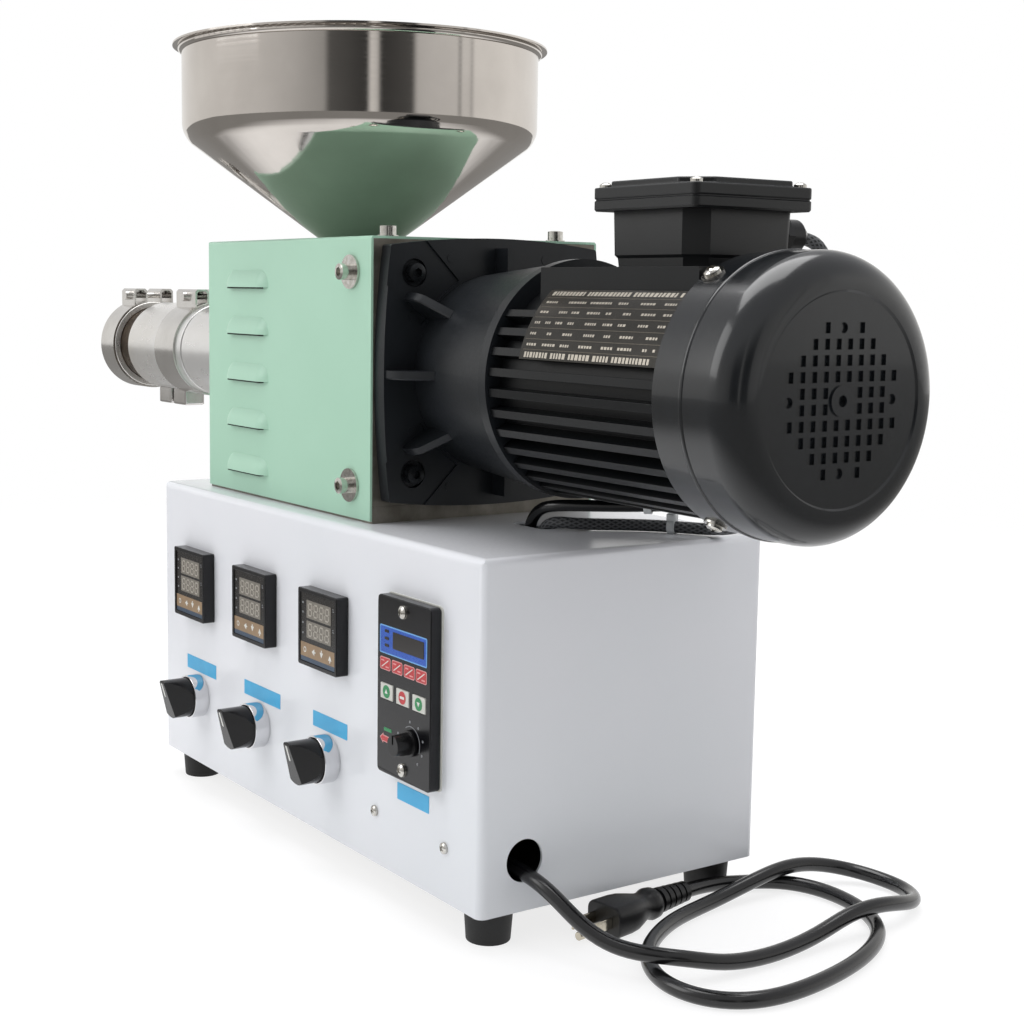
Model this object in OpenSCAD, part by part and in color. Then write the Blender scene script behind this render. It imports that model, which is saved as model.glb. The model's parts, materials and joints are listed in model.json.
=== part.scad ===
// Desktop filament extruder: a hopper feeds a heated barrel, driven by a flange-mounted
// gear motor, on a sheet-metal control cabinet. Millimetres. The long axis is X, with the
// motor at +X and the barrel at -X. The controls face -Y.

/* [Cabinet] */
// Length of the cabinet
cabinet_l = 410; // [380:1:460]
// Depth of the cabinet
cabinet_d = 200; // [190:1:240]
// Height of the cabinet without its feet
cabinet_h = 196; // [180:1:230]
// Thickness of the cabinet's sheet
sheet_t = 1.5; // [1:0.1:2.5]
// Outer radius of the cabinet's bends
bend_r = 5; // [3:0.5:8]
// Radius of the power cord's hole in the right end
cord_hole_r = 12; // [10:0.5:14]
// Distance of that hole from the front
cord_hole_y = 29.5; // [24:0.5:40]
// Height of that hole above the cabinet's underside
cord_hole_z = 28.5; // [22:0.5:40]

/* [Feet] */
// Height of a rubber foot
foot_h = 20; // [16:1:24]
// Radius of a foot at its top
foot_top_r = 14; // [12:0.5:16]
// Radius of a foot at the floor
foot_floor_r = 12.5; // [10:0.5:14]
// Distance of a foot's centre from the cabinet's edges
foot_inset = 20; // [18:1:30]

/* [Temperature controllers] */
// Side of a controller's square bezel
controller_w = 48; // [40:1:52]
// How far a bezel stands out of the panel
controller_proud = 8.5; // [5:0.5:12]
// Side of the square housing behind the panel
controller_case_w = 44.5; // [36:0.5:45]
// Depth of the housing behind the panel
controller_depth = 60; // [30:1:80]
// Height of the controllers' centres above the cabinet's underside
controller_z = 129.5; // [110:0.5:150]
// Distance of the first column of controls from the cabinet's left end
column_first = 60; // [50:1:70]
// Distance from the last column of controls to the speed panel
column_to_speed = 99; // [80:0.5:110]

/* [Selector switches] */
// Height of the selectors' centres above the cabinet's underside
selector_z = 49.5; // [40:0.5:60]
// Outer radius of a selector's chrome ring
ring_r = 15; // [13:0.5:17]
// How far a ring stands out of the panel
ring_l = 10.5; // [8:0.5:14]
// Radius of a handle's round base
handle_r = 13.6; // [12:0.1:14]
// How far a handle's pointer end stands out of its ring
handle_l = 19; // [14:0.5:24]
// How far its tail stands out of the ring
handle_tail_l = 11.5; // [8:0.5:20]
// Width of a handle's grip
grip_w = 7; // [5:0.5:10]

/* [Speed panel] */
// Width of the speed panel
speed_w = 56; // [52:1:62]
// Height of the speed panel
speed_h = 103; // [96:1:110]
// How far it stands out of its gasket
speed_proud = 7; // [5:0.5:10]
// Thickness of the gasket
gasket_t = 1; // [0.5:0.1:2]
// Distance of its centre from the cabinet's right end
speed_from_right = 66; // [55:1:72]
// Height of its centre above the cabinet's underside
speed_z = 113; // [100:0.5:130]
// Radius of the speed knob
knob_r = 6.5; // [5:0.1:8]
// Length of the speed knob
knob_l = 12; // [9:0.5:16]
// Distance of the knob below the panel's centre
knob_drop = 27.5; // [22:0.5:30]
// Distance of the knob to the right of the panel's centre
knob_side = 8.5; // [0:0.5:14]

/* [Feed housing] */
// Length of the louvred cover
cover_l = 224; // [200:1:240]
// Depth of the cover
cover_d = 168; // [166:1:172]
// Height of the cover
cover_h = 170; // [168:1:180]
// Thickness of the cover's sheet
cover_t = 1.5; // [1:0.1:2]
// Distance of the cover from the cabinet's left end
cover_from_left = 42; // [30:1:60]
// Gap between the cover and the cabinet
cover_gap = 1.5; // [1:0.1:3]
// Thickness of the steel plates at the housing's two ends
end_plate_t = 10; // [8:0.5:14]
// Thickness of the base plate
base_plate_t = 10; // [8:0.5:14]
// Length of a louvre
louvre_l = 61; // [40:1:80]
// Height of a louvre
louvre_h = 11.5; // [8:0.5:14]
// How far a louvre bulges out
louvre_bulge = 4.5; // [3:0.1:6]
// Distance between two louvres
louvre_pitch = 31.1; // [24:0.1:32]
// Distance of the louvres from the cover's left end
louvre_from_left = 31; // [26:1:60]

/* [Hopper] */
// Distance of the hopper's axis from the cover's left end
hopper_from_left = 67; // [60:1:90]
// Radius of the hopper's cylinder
hopper_r = 121.5; // [100:0.5:130]
// Radius of its rolled rim
rim_r = 127.5; // [105:0.5:135]
// Height of the cylinder
hopper_cyl_h = 60; // [40:1:80]
// Height of the cone
hopper_cone_h = 71; // [60:1:90]
// Outer radius of the throat
throat_r = 25; // [22:0.5:30]
// Thickness of the hopper's sheet
hopper_t = 1.2; // [1:0.1:2]
// Radius of the rim's roll
roll_r = 2.6; // [2:0.1:4]

/* [Barrel] */
// Height of the barrel's and the motor's axis above the cabinet
axis_h = 90; // [88:0.5:92]
// Outer radius of the barrel
barrel_r = 31.5; // [28:0.5:33]
// Radius of the barrel's bore
bore_r = 16; // [12:0.5:18]
// Length of the barrel out of its end plate
barrel_l = 321; // [300:1:340]
// Outer radius of the band heaters
heater_r = 36.5; // [35:0.5:40]
// Length of the middle heater
heater_mid_l = 107; // [100:1:110]
// Length of the front heater
heater_front_l = 29; // [28:1:34]
// Bare barrel between the middle and the front heater
front_gap = 28; // [20:1:32]
// Gap between two heaters
heater_gap = 2; // [1:0.5:6]
// Width of the front strap
strap_front_w = 28; // [20:1:32]
// Width of the middle strap
strap_mid_w = 37; // [24:1:44]
// Distance of the middle strap's centre from the middle heater's rear end
strap_mid_in = 29; // [20:1:60]
// Thickness of a strap
strap_t = 1.5; // [1:0.1:2.5]
// Radius of the nozzle's outlet
nozzle_r = 2; // [1:0.1:3]
// Length of the nozzle's tip
nozzle_l = 14; // [10:1:20]

/* [Motor] */
// Width over the flange's bowed sides
flange_w = 163; // [158:1:166]
// Thickness of the flange
flange_t = 11; // [9:0.5:14]
// Distance of a flange bolt from the axis along each side
flange_bolt = 60; // [56:0.5:64]
// Radius of a flange bolt's hole
flange_hole_r = 4.5; // [4:0.1:6]
// Distance from the housing's end plate to the bell's rim
bell_l = 97; // [85:1:110]
// Radius of the bell at the flange
bell_base_r = 60; // [56:0.5:64]
// Radius of the bell at its rim
bell_rim_r = 68.5; // [66:0.5:70]
// Radius over the fins
fin_r = 66.5; // [62:0.5:68]
// Depth of a fin
fin_h = 8; // [5:0.5:12]
// Thickness of a fin
fin_w = 4.5; // [3:0.1:6]
// Fins in a full turn, of which the terminal box's ledge takes some
fin_count = 36; // [24:4:40]
// Length of the finned body
motor_l = 146; // [130:1:165]
// Outer radius of the fan cover
cowl_r = 71.5; // [69:0.5:76]
// Length of the fan cover
cowl_l = 56; // [48:1:66]
// Thickness of the fan cover
cowl_t = 1.5; // [1:0.1:2.5]
// Radius of the cover's flat end
cowl_end_r = 53.5; // [48:0.5:56]
// Side of a square hole in the grille
grille_hole = 5.2; // [4:0.1:6]
// Distance between two grille holes
grille_pitch = 7.7; // [7:0.1:8]
// Radius of the fan
fan_r = 58; // [50:0.5:60]
// Blades of the fan
fan_blades = 8; // [5:1:11]

/* [Terminal box] */
// Length of the box
box_l = 70; // [60:1:80]
// Width of the box
box_w = 70; // [60:1:80]
// Height of the box below its lid
box_h = 35; // [28:1:44]
// Height of the lid
lid_h = 9; // [7:0.5:14]
// How far the lid and the box's lip stand out
lid_over = 5.5; // [3:0.5:8]
// Distance of the box from the bell's rim
box_from_bell = 61; // [50:1:70]

/* [Power cord] */
// Diameter of the cord
cord_dia = 8.6; // [7:0.1:10]
// Thickness of the plug
plug_t = 18; // [16:0.5:18]
// Width of the plug
plug_w = 25; // [22:0.5:28]
// Length of the plug's body
plug_l = 42; // [36:1:50]
// Length of the plug's strain relief
relief_l = 28; // [22:1:36]

/* [Hidden] */
$fn = 64;
eps = 0.01;

// Running clearance of a knob, handle or shaft in its hole
fit_gap = 0.3;
// Clearance of a housing in its cut-out
cut_gap = 0.5;
// Clearance of a piece that sits tight on another
seat_gap = 0.1;

// Height of the fins' circle above the terminal box's ledge
ledge_drop = 3.5;
// Fan cover's overlap on the finned body
cowl_lap = 3;
// Bare end of the barrel before the front heater
barrel_lip = 1.5;

// Places, measured from the cabinet's right end, front and underside
left_x = -cabinet_l;
column_pitch = (cabinet_l - column_first - column_to_speed - speed_from_right) / 2;
column_x = [for (i = [0:2]) left_x + column_first + i * column_pitch];
speed_x = -speed_from_right;
cover_x0 = left_x + cover_from_left;
cover_x1 = cover_x0 + cover_l;
axis_y = cabinet_d / 2;
axis_z = cabinet_h + axis_h;
cover_z0 = cabinet_h + cover_gap;
cover_z1 = cover_z0 + cover_h;
hopper_x = cover_x0 + hopper_from_left;
barrel_plate_x = cover_x0 + cover_t;
barrel_x0 = barrel_plate_x - barrel_l;
bell_x = cover_x1 + bell_l;
cowl_x1 = bell_x + motor_l + cowl_l - cowl_lap;
cowl_x0 = cowl_x1 - cowl_l;
box_x = bell_x + box_from_bell + box_l / 2;
ledge_z = axis_z + fin_r - ledge_drop;
heater_x3 = cover_x0 - heater_gap;
heater_x1 = barrel_x0 + barrel_lip + heater_front_l;
heater_x2 = heater_x1 + front_gap + heater_mid_l;
heater_rear_l = heater_x3 - heater_x2 - heater_gap;
nozzle_x = barrel_x0 - nozzle_l;
strap_mid_x = heater_x2 - strap_mid_in;
strap_front_x = heater_x1 - heater_front_l / 2;

// The part's origin is under the middle of its box, on the floor
origin_x = (nozzle_x + cowl_x1) / 2;
front_y = min(-(ring_l + handle_l), axis_y - rim_r);
back_y = max(cabinet_d, axis_y + rim_r);
origin_y = (front_y + back_y) / 2;

module place() {
    translate([-origin_x, -origin_y, foot_h]) children();
}

module along_x(x, y = axis_y, z = axis_z) {
    translate([x, y, z]) rotate([0, 90, 0]) children();
}

module out_of_front(x, z, y = 0) {
    translate([x, y, z]) rotate([90, 0, 0]) children();
}

module rounded_rect(w, h, r) {
    square([w - 2 * r, h], center = true);
    square([w, h - 2 * r], center = true);
    for (sx = [-1, 1], sy = [-1, 1]) translate([sx * (w / 2 - r), sy * (h / 2 - r)]) circle(r);
}

module rounded_box(size, r) {
    intersection() {
        linear_extrude(size.z) translate([size.x / 2, size.y / 2]) rounded_rect(size.x, size.y, r);
        translate([0, size.y, 0]) rotate([90, 0, 0]) linear_extrude(size.y)
            translate([size.x / 2, 0]) rounded_rect(size.x, 2 * size.z, r);
        rotate([90, 0, 90]) linear_extrude(size.x)
            translate([size.y / 2, 0]) rounded_rect(size.y, 2 * size.z, r);
    }
}

module ring_of(r_out, r_in, h) {
    difference() {
        cylinder(r = r_out, h = h);
        translate([0, 0, -1]) cylinder(r = r_in, h = h + 2);
    }
}

// Sheet cabinet, open below, with the cut-outs of its controls
module cabinet_shell() {
    inner = [cabinet_l - 2 * sheet_t, cabinet_d - 2 * sheet_t, cabinet_h - sheet_t + 1];
    color("white") place() difference() {
        translate([left_x, 0, 0]) rounded_box([cabinet_l, cabinet_d, cabinet_h], bend_r);
        translate([left_x + sheet_t, sheet_t, -1]) rounded_box(inner, bend_r - sheet_t);
        for (x = column_x) {
            out_of_front(x, controller_z, sheet_t + 1) linear_extrude(sheet_t + 2)
                square(controller_case_w + 2 * cut_gap, center = true);
            out_of_front(x, selector_z, sheet_t + 1) cylinder(r = ring_stem_r + cut_gap, h = sheet_t + 2);
        }
        out_of_front(speed_x, speed_z, sheet_t + 1) linear_extrude(sheet_t + 2)
            square([speed_case_w + 2 * cut_gap, speed_case_h + 2 * cut_gap], center = true);
        along_x(-sheet_t - 1, cord_hole_y, cord_hole_z) cylinder(r = cord_hole_r, h = sheet_t + 2);
        translate([lead_slot.x, lead_slot.y, cabinet_h - sheet_t - 1]) linear_extrude(sheet_t + 2)
            hull() for (s = [-1, 1]) translate([s * (lead_slot_l / 2 - lead_slot_r), 0]) circle(lead_slot_r);
    }
}

// Floor plate let into the shell, with a hole for each foot's screw
module cabinet_floor() {
    color("gainsboro") place() difference() {
        translate([left_x + cabinet_l / 2, cabinet_d / 2, 0]) linear_extrude(sheet_t)
            rounded_rect(cabinet_l - 2 * sheet_t, cabinet_d - 2 * sheet_t, bend_r - sheet_t);
        at_feet() translate([0, 0, -1]) cylinder(r = foot_screw_r, h = sheet_t + 2);
    }
}

foot_screw_r = 2.2;
foot_recess_r = 5;
foot_recess_h = 8;
module at_feet() {
    for (x = [left_x + foot_inset, -foot_inset], y = [foot_inset, cabinet_d - foot_inset])
        translate([x, y, 0]) children();
}

// Four tapered rubber feet, each with its screw's recess
module feet() {
    color("black") place() at_feet() translate([0, 0, -foot_h]) difference() {
        cylinder(r1 = foot_floor_r, r2 = foot_top_r, h = foot_h);
        translate([0, 0, -1]) cylinder(r = foot_screw_r, h = foot_h + 2);
        translate([0, 0, -1]) cylinder(r = foot_recess_r, h = foot_recess_h + 1);
    }
}

// Square temperature controller: bezel, sunk face and housing behind the panel
bezel_edge = 2.5;
face_sink = 1;
module controller(x) {
    color([0.12, 0.12, 0.13]) place() out_of_front(x, controller_z) {
        difference() {
            linear_extrude(controller_proud) rounded_rect(controller_w, controller_w, 1.5);
            translate([0, 0, controller_proud - face_sink]) linear_extrude(face_sink + 1)
                square(controller_w - 2 * bezel_edge, center = true);
        }
        translate([0, 0, -controller_depth]) linear_extrude(controller_depth)
            square(controller_case_w, center = true);
    }
}

// Chrome ring of a selector, with its stem and switch block behind the panel
ring_stem_r = 11;
block_w = 28;
block_l = 34;
module selector_ring(x) {
    color("silver") place() out_of_front(x, selector_z) {
        difference() {
            union() {
                cylinder(r = ring_r, h = ring_l);
                translate([0, 0, -sheet_t - block_l]) cylinder(r = ring_stem_r, h = sheet_t + block_l);
            }
            translate([0, 0, ring_l - handle_seat]) cylinder(r = handle_r + fit_gap, h = handle_seat + 1);
            translate([0, 0, -handle_stem_l - fit_gap])
                cylinder(r = handle_stem_r + fit_gap, h = handle_stem_l + ring_l);
        }
        translate([0, 0, -sheet_t - block_l]) difference() {
            linear_extrude(block_l) square(block_w, center = true);
            translate([0, 0, -1]) cylinder(r = ring_stem_r, h = block_l + 2);
        }
    }
}

// Selector handle: a round base that narrows to a grip, lower at its tail
handle_seat = 2;
handle_stem_r = 4;
handle_stem_l = 10;
module selector_handle(x) {
    color([0.1, 0.1, 0.11]) place() out_of_front(x, selector_z, -ring_l) {
        intersection() {
            translate([0, 0, -handle_seat + fit_gap]) cylinder(r = handle_r, h = handle_l + handle_seat - fit_gap);
            rotate([90, 0, 0]) linear_extrude(2 * handle_r + 2, center = true) polygon([
                [-handle_r, -handle_seat], [handle_r, -handle_seat], [handle_r - 1, 2],
                [grip_w / 2, handle_l], [-grip_w / 2, handle_l], [1 - handle_r, 2]
            ]);
            rotate([90, 0, 90]) linear_extrude(2 * handle_r + 2, center = true) polygon([
                [-handle_r, -handle_seat], [handle_r, -handle_seat], [handle_r, handle_l - 1],
                [handle_r - 1.5, handle_l], [-handle_r, handle_tail_l]
            ]);
        }
        translate([0, 0, -ring_l - handle_stem_l + handle_seat])
            cylinder(r = handle_stem_r, h = ring_l + handle_stem_l - fit_gap);
    }
}

// Speed panel: gasket, face with its housing, keys and knob
speed_lap = 4;
speed_case_w = speed_w - 2 * speed_lap;
speed_case_h = speed_h - 27;
speed_case_l = 30;
speed_corner_r = 3;
key_w = 13;
key_h = 9;
key_pitch = 17;
key_rise = 3.5;
key_sink = 1.5;
key_proud = 0.6;
knob_stem_r = 3;
knob_sink = 8;
module speed_gasket() {
    color("whitesmoke") place() out_of_front(speed_x, speed_z) difference() {
        linear_extrude(gasket_t) rounded_rect(speed_w + 1, speed_h + 1, speed_corner_r);
        translate([0, 0, -1]) linear_extrude(gasket_t + 2) square([speed_case_w, speed_case_h], center = true);
    }
}

module speed_panel() {
    color([0.11, 0.11, 0.12]) place() out_of_front(speed_x, speed_z, -gasket_t) difference() {
        union() {
            linear_extrude(speed_proud) rounded_rect(speed_w, speed_h, speed_corner_r);
            translate([0, 0, -speed_case_l]) linear_extrude(speed_case_l)
                square([speed_case_w, speed_case_h], center = true);
        }
        at_keys() translate([0, 0, -key_sink]) linear_extrude(key_sink + 1) square([key_w, key_h], center = true);
        translate([knob_side, -knob_drop, speed_proud - knob_sink])
            cylinder(r = knob_stem_r + fit_gap, h = knob_sink + 1);
    }
}

module at_keys() {
    for (i = [-1:1]) translate([i * key_pitch, -key_rise, speed_proud]) children();
}

module speed_keys() {
    color("lightgrey") place() out_of_front(speed_x, speed_z, -gasket_t) at_keys()
        translate([0, 0, -key_sink]) linear_extrude(key_sink + key_proud) square([key_w, key_h], center = true);
}

module speed_knob() {
    color([0.08, 0.08, 0.08]) place() out_of_front(speed_x, speed_z, -gasket_t)
        translate([knob_side, -knob_drop, speed_proud]) {
            difference() {
                union() {
                    translate([0, 0, fit_gap]) cylinder(r = knob_r + 1, h = 2);
                    translate([0, 0, fit_gap]) cylinder(r1 = knob_r, r2 = knob_r - 0.7, h = knob_l - fit_gap);
                }
                translate([-0.6, 1, knob_l - 1]) cube([1.2, knob_r, 2]);
            }
            translate([0, 0, fit_gap - knob_sink]) cylinder(r = knob_stem_r, h = knob_sink);
        }
}

// Louvred sheet cover over the feed block, open below and at its motor end
louvre_ball = (louvre_h * louvre_h + louvre_bulge * louvre_bulge) / (2 * louvre_bulge);
louvre_rows = 5;
louvre_z0 = cover_z0 + 14.5;
module louvre_form(r, z) {
    // a round-ended bulge on the plane y = 0 that stands out towards -Y above z
    intersection() {
        translate([0, louvre_ball - louvre_bulge, z]) {
            translate([louvre_h, 0, 0]) rotate([0, 90, 0]) cylinder(r = r, h = louvre_l - 2 * louvre_h);
            for (x = [louvre_h, louvre_l - louvre_h]) translate([x, 0, 0]) sphere(r);
        }
        translate([-1, -2 * r, z]) cube([louvre_l + 2, 4 * r, 2 * r]);
    }
}

module at_louvres() {
    for (i = [0:louvre_rows - 1]) translate([cover_x0 + louvre_from_left, 0, louvre_z0 + i * louvre_pitch])
        children();
}

module both_faces() {
    children();
    translate([0, 2 * axis_y, 0]) mirror([0, 1, 0]) children();
}

cover_y0 = axis_y - cover_d / 2;
module feed_cover() {
    color([0.67, 0.82, 0.73]) place() difference() {
        union() {
            difference() {
                translate([cover_x0, cover_y0, cover_z0])
                    rounded_box([cover_l + 5, cover_d, cover_h], 2);
                translate([cover_x1, -1, cover_z0 - 1]) cube([20, cabinet_d + 2, cover_h + 20]);
                translate([cover_x0 + cover_t, cover_y0 + cover_t, cover_z0 - 1])
                    cube([cover_l + 10, cover_d - 2 * cover_t, cover_h - cover_t + 1]);
            }
            both_faces() translate([0, cover_y0, 0]) at_louvres() intersection() {
                louvre_form(louvre_ball, 0);
                translate([-1, -louvre_bulge - 1, -1]) cube([louvre_l + 2, louvre_bulge + 1 + eps, 30]);
            }
        }
        both_faces() translate([0, cover_y0, 0]) at_louvres() translate([0, 0, -eps])
            louvre_form(louvre_ball - cover_t, 0);
        translate([hopper_x, axis_y, cover_z1 - cover_t - 1]) cylinder(r = throat_r + cut_gap, h = cover_t + 2);
        along_x(cover_x0 - 1) cylinder(r = barrel_r + cut_gap, h = cover_t + 2);
    }
}

// Base plate, the two end plates and the throat block inside the cover
inside_d = cover_d - 2 * cover_t;
module base_plate() {
    color("silver") place() translate([barrel_plate_x, cover_y0 + cover_t, cabinet_h])
        cube([cover_l - cover_t, inside_d, base_plate_t]);
}

spigot_r = 50;
spigot_h = 4;
module plate(x, hole_r) {
    z0 = cabinet_h + base_plate_t;
    difference() {
        translate([x, cover_y0 + cover_t, z0]) cube([end_plate_t, inside_d, cover_z1 - cover_t - z0]);
        along_x(x - 1) cylinder(r = hole_r, h = end_plate_t + 2);
    }
}

module motor_plate() {
    color("silver") place() plate(cover_x1 - end_plate_t, spigot_r + fit_gap);
}

module barrel_plate() {
    color("silver") place() plate(barrel_plate_x, barrel_r + seat_gap);
}

block_l0 = 100;
feed_w = 70;
block_top_gap = 10;
throat_l = 28;
module feed_block() {
    x0 = barrel_plate_x + end_plate_t;
    z0 = cabinet_h + base_plate_t;
    color("silver") place() difference() {
        translate([x0, axis_y - feed_w / 2, z0]) cube([block_l0, feed_w, cover_z1 - cover_t - block_top_gap - z0]);
        along_x(x0 - 1) cylinder(r = bore_r, h = block_l0 + 2);
        translate([hopper_x, axis_y, axis_z]) cylinder(r = throat_r - hopper_t, h = cover_h);
        translate([hopper_x, axis_y, cover_z1 - throat_l]) cylinder(r = throat_r + fit_gap, h = throat_l);
    }
}

// Feed screw: a core with one helical flight
screw_gap = 0.3;
screw_core_r = 9;
screw_pitch = 26;
module feed_screw() {
    x0 = barrel_plate_x - 20;
    flight_l = block_l0 + end_plate_t;
    color("silver") place() along_x(x0) {
        translate([0, 0, flight_l + 20]) cylinder(r = bore_r - screw_gap, h = 26);
        linear_extrude(flight_l + 20, twist = -360 * (flight_l + 20) / screw_pitch, slices = 44)
            difference() {
                circle(bore_r - screw_gap, $fn = 24);
                difference() {
                    circle(bore_r + 1, $fn = 24);
                    circle(screw_core_r, $fn = 24);
                    rotate(-28) square([bore_r + 2, bore_r * 0.5]);
                }
            }
    }
}

// Spun hopper: rolled rim, cylinder, cone and throat
module hopper() {
    z_cone = cover_z1;
    z_cyl = z_cone + hopper_cone_h;
    z_rim = z_cyl + hopper_cyl_h;
    color("gainsboro") place() translate([hopper_x, axis_y, 0]) {
        rotate_extrude($fn = 96) union() {
            polygon([
                [throat_r - hopper_t, z_cone - throat_l], [throat_r, z_cone - throat_l],
                [throat_r, z_cone + 0.3], [hopper_r - 2.2, z_cyl - 2.6], [hopper_r, z_cyl + 2],
                [hopper_r, z_rim - 2 * roll_r], [hopper_r - hopper_t, z_rim - roll_r],
                [hopper_r - hopper_t, z_cyl + 2.2], [hopper_r - 3.2, z_cyl - 1.8],
                [throat_r - hopper_t, z_cone + 0.9]
            ]);
            translate([hopper_r, z_rim - roll_r]) difference() {
                circle(roll_r, $fn = 24);
                circle(roll_r - hopper_t, $fn = 24);
            }
            translate([hopper_r - hopper_t, z_rim - 2 * roll_r - 4]) square([hopper_t, roll_r + 5]);
            translate([hopper_r, z_rim - hopper_t]) square([rim_r - hopper_r, hopper_t]);
        }
    }
}

// Barrel tube let into its plate, with the nozzle in its end
module barrel() {
    color("silver") place() difference() {
        along_x(barrel_x0) cylinder(r = barrel_r, h = barrel_l + end_plate_t);
        along_x(barrel_x0 - 1) cylinder(r = bore_r, h = barrel_l + end_plate_t + 2);
    }
}

nozzle_plug_l = 20;
module nozzle() {
    color("darkgoldenrod") place() difference() {
        union() {
            along_x(barrel_x0) cylinder(r = bore_r - seat_gap, h = nozzle_plug_l);
            along_x(barrel_x0 - 6) cylinder(r = barrel_r - 4, h = 6, $fn = 6);
            along_x(nozzle_x) cylinder(r1 = nozzle_r + 3, r2 = 10, h = nozzle_l - 6);
        }
        along_x(nozzle_x - 1) cylinder(r = nozzle_r, h = nozzle_l + nozzle_plug_l + 2);
        along_x(barrel_x0 + 4) cylinder(r1 = nozzle_r, r2 = bore_r - 3, h = nozzle_plug_l - 4 + eps);
    }
}

module band_heater(x, l) {
    color("lightgrey") place() along_x(x) ring_of(heater_r, barrel_r + seat_gap, l);
}

// Strap clamp: a band with a loop at each end, drawn together by a bolt on top
loop_w = 12;
loop_h = 10;
loop_gap = 12;
strap_bolt_r = 2.5;
strap_r_in = heater_r + seat_gap;
strap_r = strap_r_in + strap_t;
bolt_u = strap_r + (loop_h - strap_t) / 2;
module loop_outline(inset) {
    top = strap_r + loop_h - inset;
    half = loop_w / 2 - inset;
    translate([0, (loop_gap + loop_w) / 2])
        polygon([[0, -half], [top - 2, -half], [top, 2 - half], [top, half - 2], [top - 2, half], [0, half]]);
}

module strap_outline() {
    difference() {
        union() {
            circle(strap_r);
            for (s = [0, 1]) mirror([0, s]) loop_outline(0);
        }
        circle(strap_r_in);
        translate([0, -loop_gap / 2]) square([2 * strap_r, loop_gap]);
        for (s = [0, 1]) mirror([0, s]) difference() {
            loop_outline(strap_t);
            circle(strap_r);
        }
    }
}

module strap(x, w) {
    half = loop_gap / 2 + loop_w;
    color("silver") place() {
        along_x(x - w / 2) rotate(180) linear_extrude(w) strap_outline();
        translate([x, axis_y, axis_z + bolt_u]) rotate([-90, 0, 0]) {
            translate([0, 0, -half - 3]) cylinder(r = strap_bolt_r, h = 2 * half + 8);
            translate([0, 0, half - 0.5]) cylinder(r = 3.9, h = 3.5, $fn = 6);
            translate([0, 0, -half - 3.5]) cylinder(r = 3.9, h = 4);
        }
    }
}

// Sheet-metal caps over the heaters' terminals, under the barrel
terminal = [24, 18, 14];
terminal_sunk = 2;
terminal_pitch = 29;
terminal_x = [heater_x2 - heater_mid_l + terminal.x / 2 + terminal_sunk,
    heater_x2 - heater_mid_l + terminal.x / 2 + terminal_sunk + terminal_pitch, heater_x2 + 1.5 * terminal_pitch];
module heater_terminals() {
    color("silver") place() for (x = terminal_x) difference() {
        translate([x - terminal.x / 2, axis_y - terminal.y / 2, axis_z - heater_r - terminal.z + terminal_sunk])
            rounded_box_down(terminal, terminal_sunk);
        along_x(x - terminal.x) cylinder(r = heater_r + seat_gap, h = 2 * terminal.x);
    }
}

module rounded_box_down(size, r) {
    translate([0, 0, size.z]) mirror([0, 0, 1]) rounded_box(size, r);
}

// Gear motor: square flange with bowed sides, bell, finned body, fan cover and fan
bow = 4;
flange_corner_r = 19;
module flange_outline() {
    half = flange_w / 2;
    span = half - flange_corner_r + bow;
    r = (span * span + bow * bow) / (2 * bow);
    intersection() {
        rounded_rect(flange_w, flange_w, flange_corner_r);
        translate([half - r, 0]) circle(r, $fn = 192);
        translate([r - half, 0]) circle(r, $fn = 192);
        translate([0, half - r]) circle(r, $fn = 192);
        translate([0, r - half]) circle(r, $fn = 192);
    }
}

bolt_sink = 4;
bolt_well_r = 8.5;
corner_sink = 1.2;
corner_w = 38;
root_step = 2;
rim_step = 1.5;
rim_w = 7;
rib_w = 5;
rib_h = 16;
rib_sunk = 6;
rib_angles = [0, 90, 180, 270, 55, 125, 235, 305];
module at_flange_bolts() {
    for (sy = [-1, 1], sz = [-1, 1]) translate([sy * flange_bolt, sz * flange_bolt, 0]) children();
}

module motor_flange() {
    color([0.13, 0.14, 0.15]) place() along_x(cover_x1) difference() {
        union() {
            difference() {
                linear_extrude(flange_t) flange_outline();
                for (a = [45:90:315]) rotate(a) translate([bell_base_r, -corner_w / 2, flange_t - corner_sink])
                    cube([flange_w, corner_w, corner_sink + 1]);
            }
            cylinder(r = bell_base_r + root_step, h = flange_t);
            translate([0, 0, flange_t - eps])
                cylinder(r1 = bell_base_r, r2 = bell_rim_r - rim_step, h = bell_l - flange_t - rim_w + eps);
            translate([0, 0, bell_l - rim_w]) cylinder(r = bell_rim_r, h = rim_w);
            translate([0, 0, -spigot_h]) cylinder(r = spigot_r, h = spigot_h + eps);
            for (a = rib_angles) rotate(a) translate([bell_base_r - rib_sunk, -rib_w / 2, flange_t - rib_sunk / 2])
                cube([flange_w / 2 - bell_base_r, rib_w, rib_h]);
        }
        at_flange_bolts() {
            translate([0, 0, -1]) cylinder(r = flange_hole_r, h = flange_t + 2);
            translate([0, 0, flange_t - bolt_sink]) cylinder(r = bolt_well_r, h = bolt_sink + 1);
        }
    }
}

ledge_w = 84;
ledge_x = 14;
ledge_sunk = 22;
ledge_angle = 46;
module fin_outline() {
    // the ledge takes the place of the fins near the top, which is -X here
    core_r = fin_r - fin_h;
    circle(core_r);
    for (i = [0:fin_count - 1]) {
        a = (i + 0.5) * 360 / fin_count;
        if (abs(a - 180) > ledge_angle) rotate(a) translate([core_r - 2, -fin_w / 2]) square([fin_h + 2, fin_w]);
    }
}

module motor_body() {
    color([0.14, 0.15, 0.16]) place() along_x(bell_x) {
        linear_extrude(motor_l) fin_outline();
        translate([axis_z - ledge_z, -ledge_w / 2, ledge_x])
            cube([ledge_sunk, ledge_w, cowl_x0 - bell_x - ledge_x - cut_gap]);
    }
}

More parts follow.
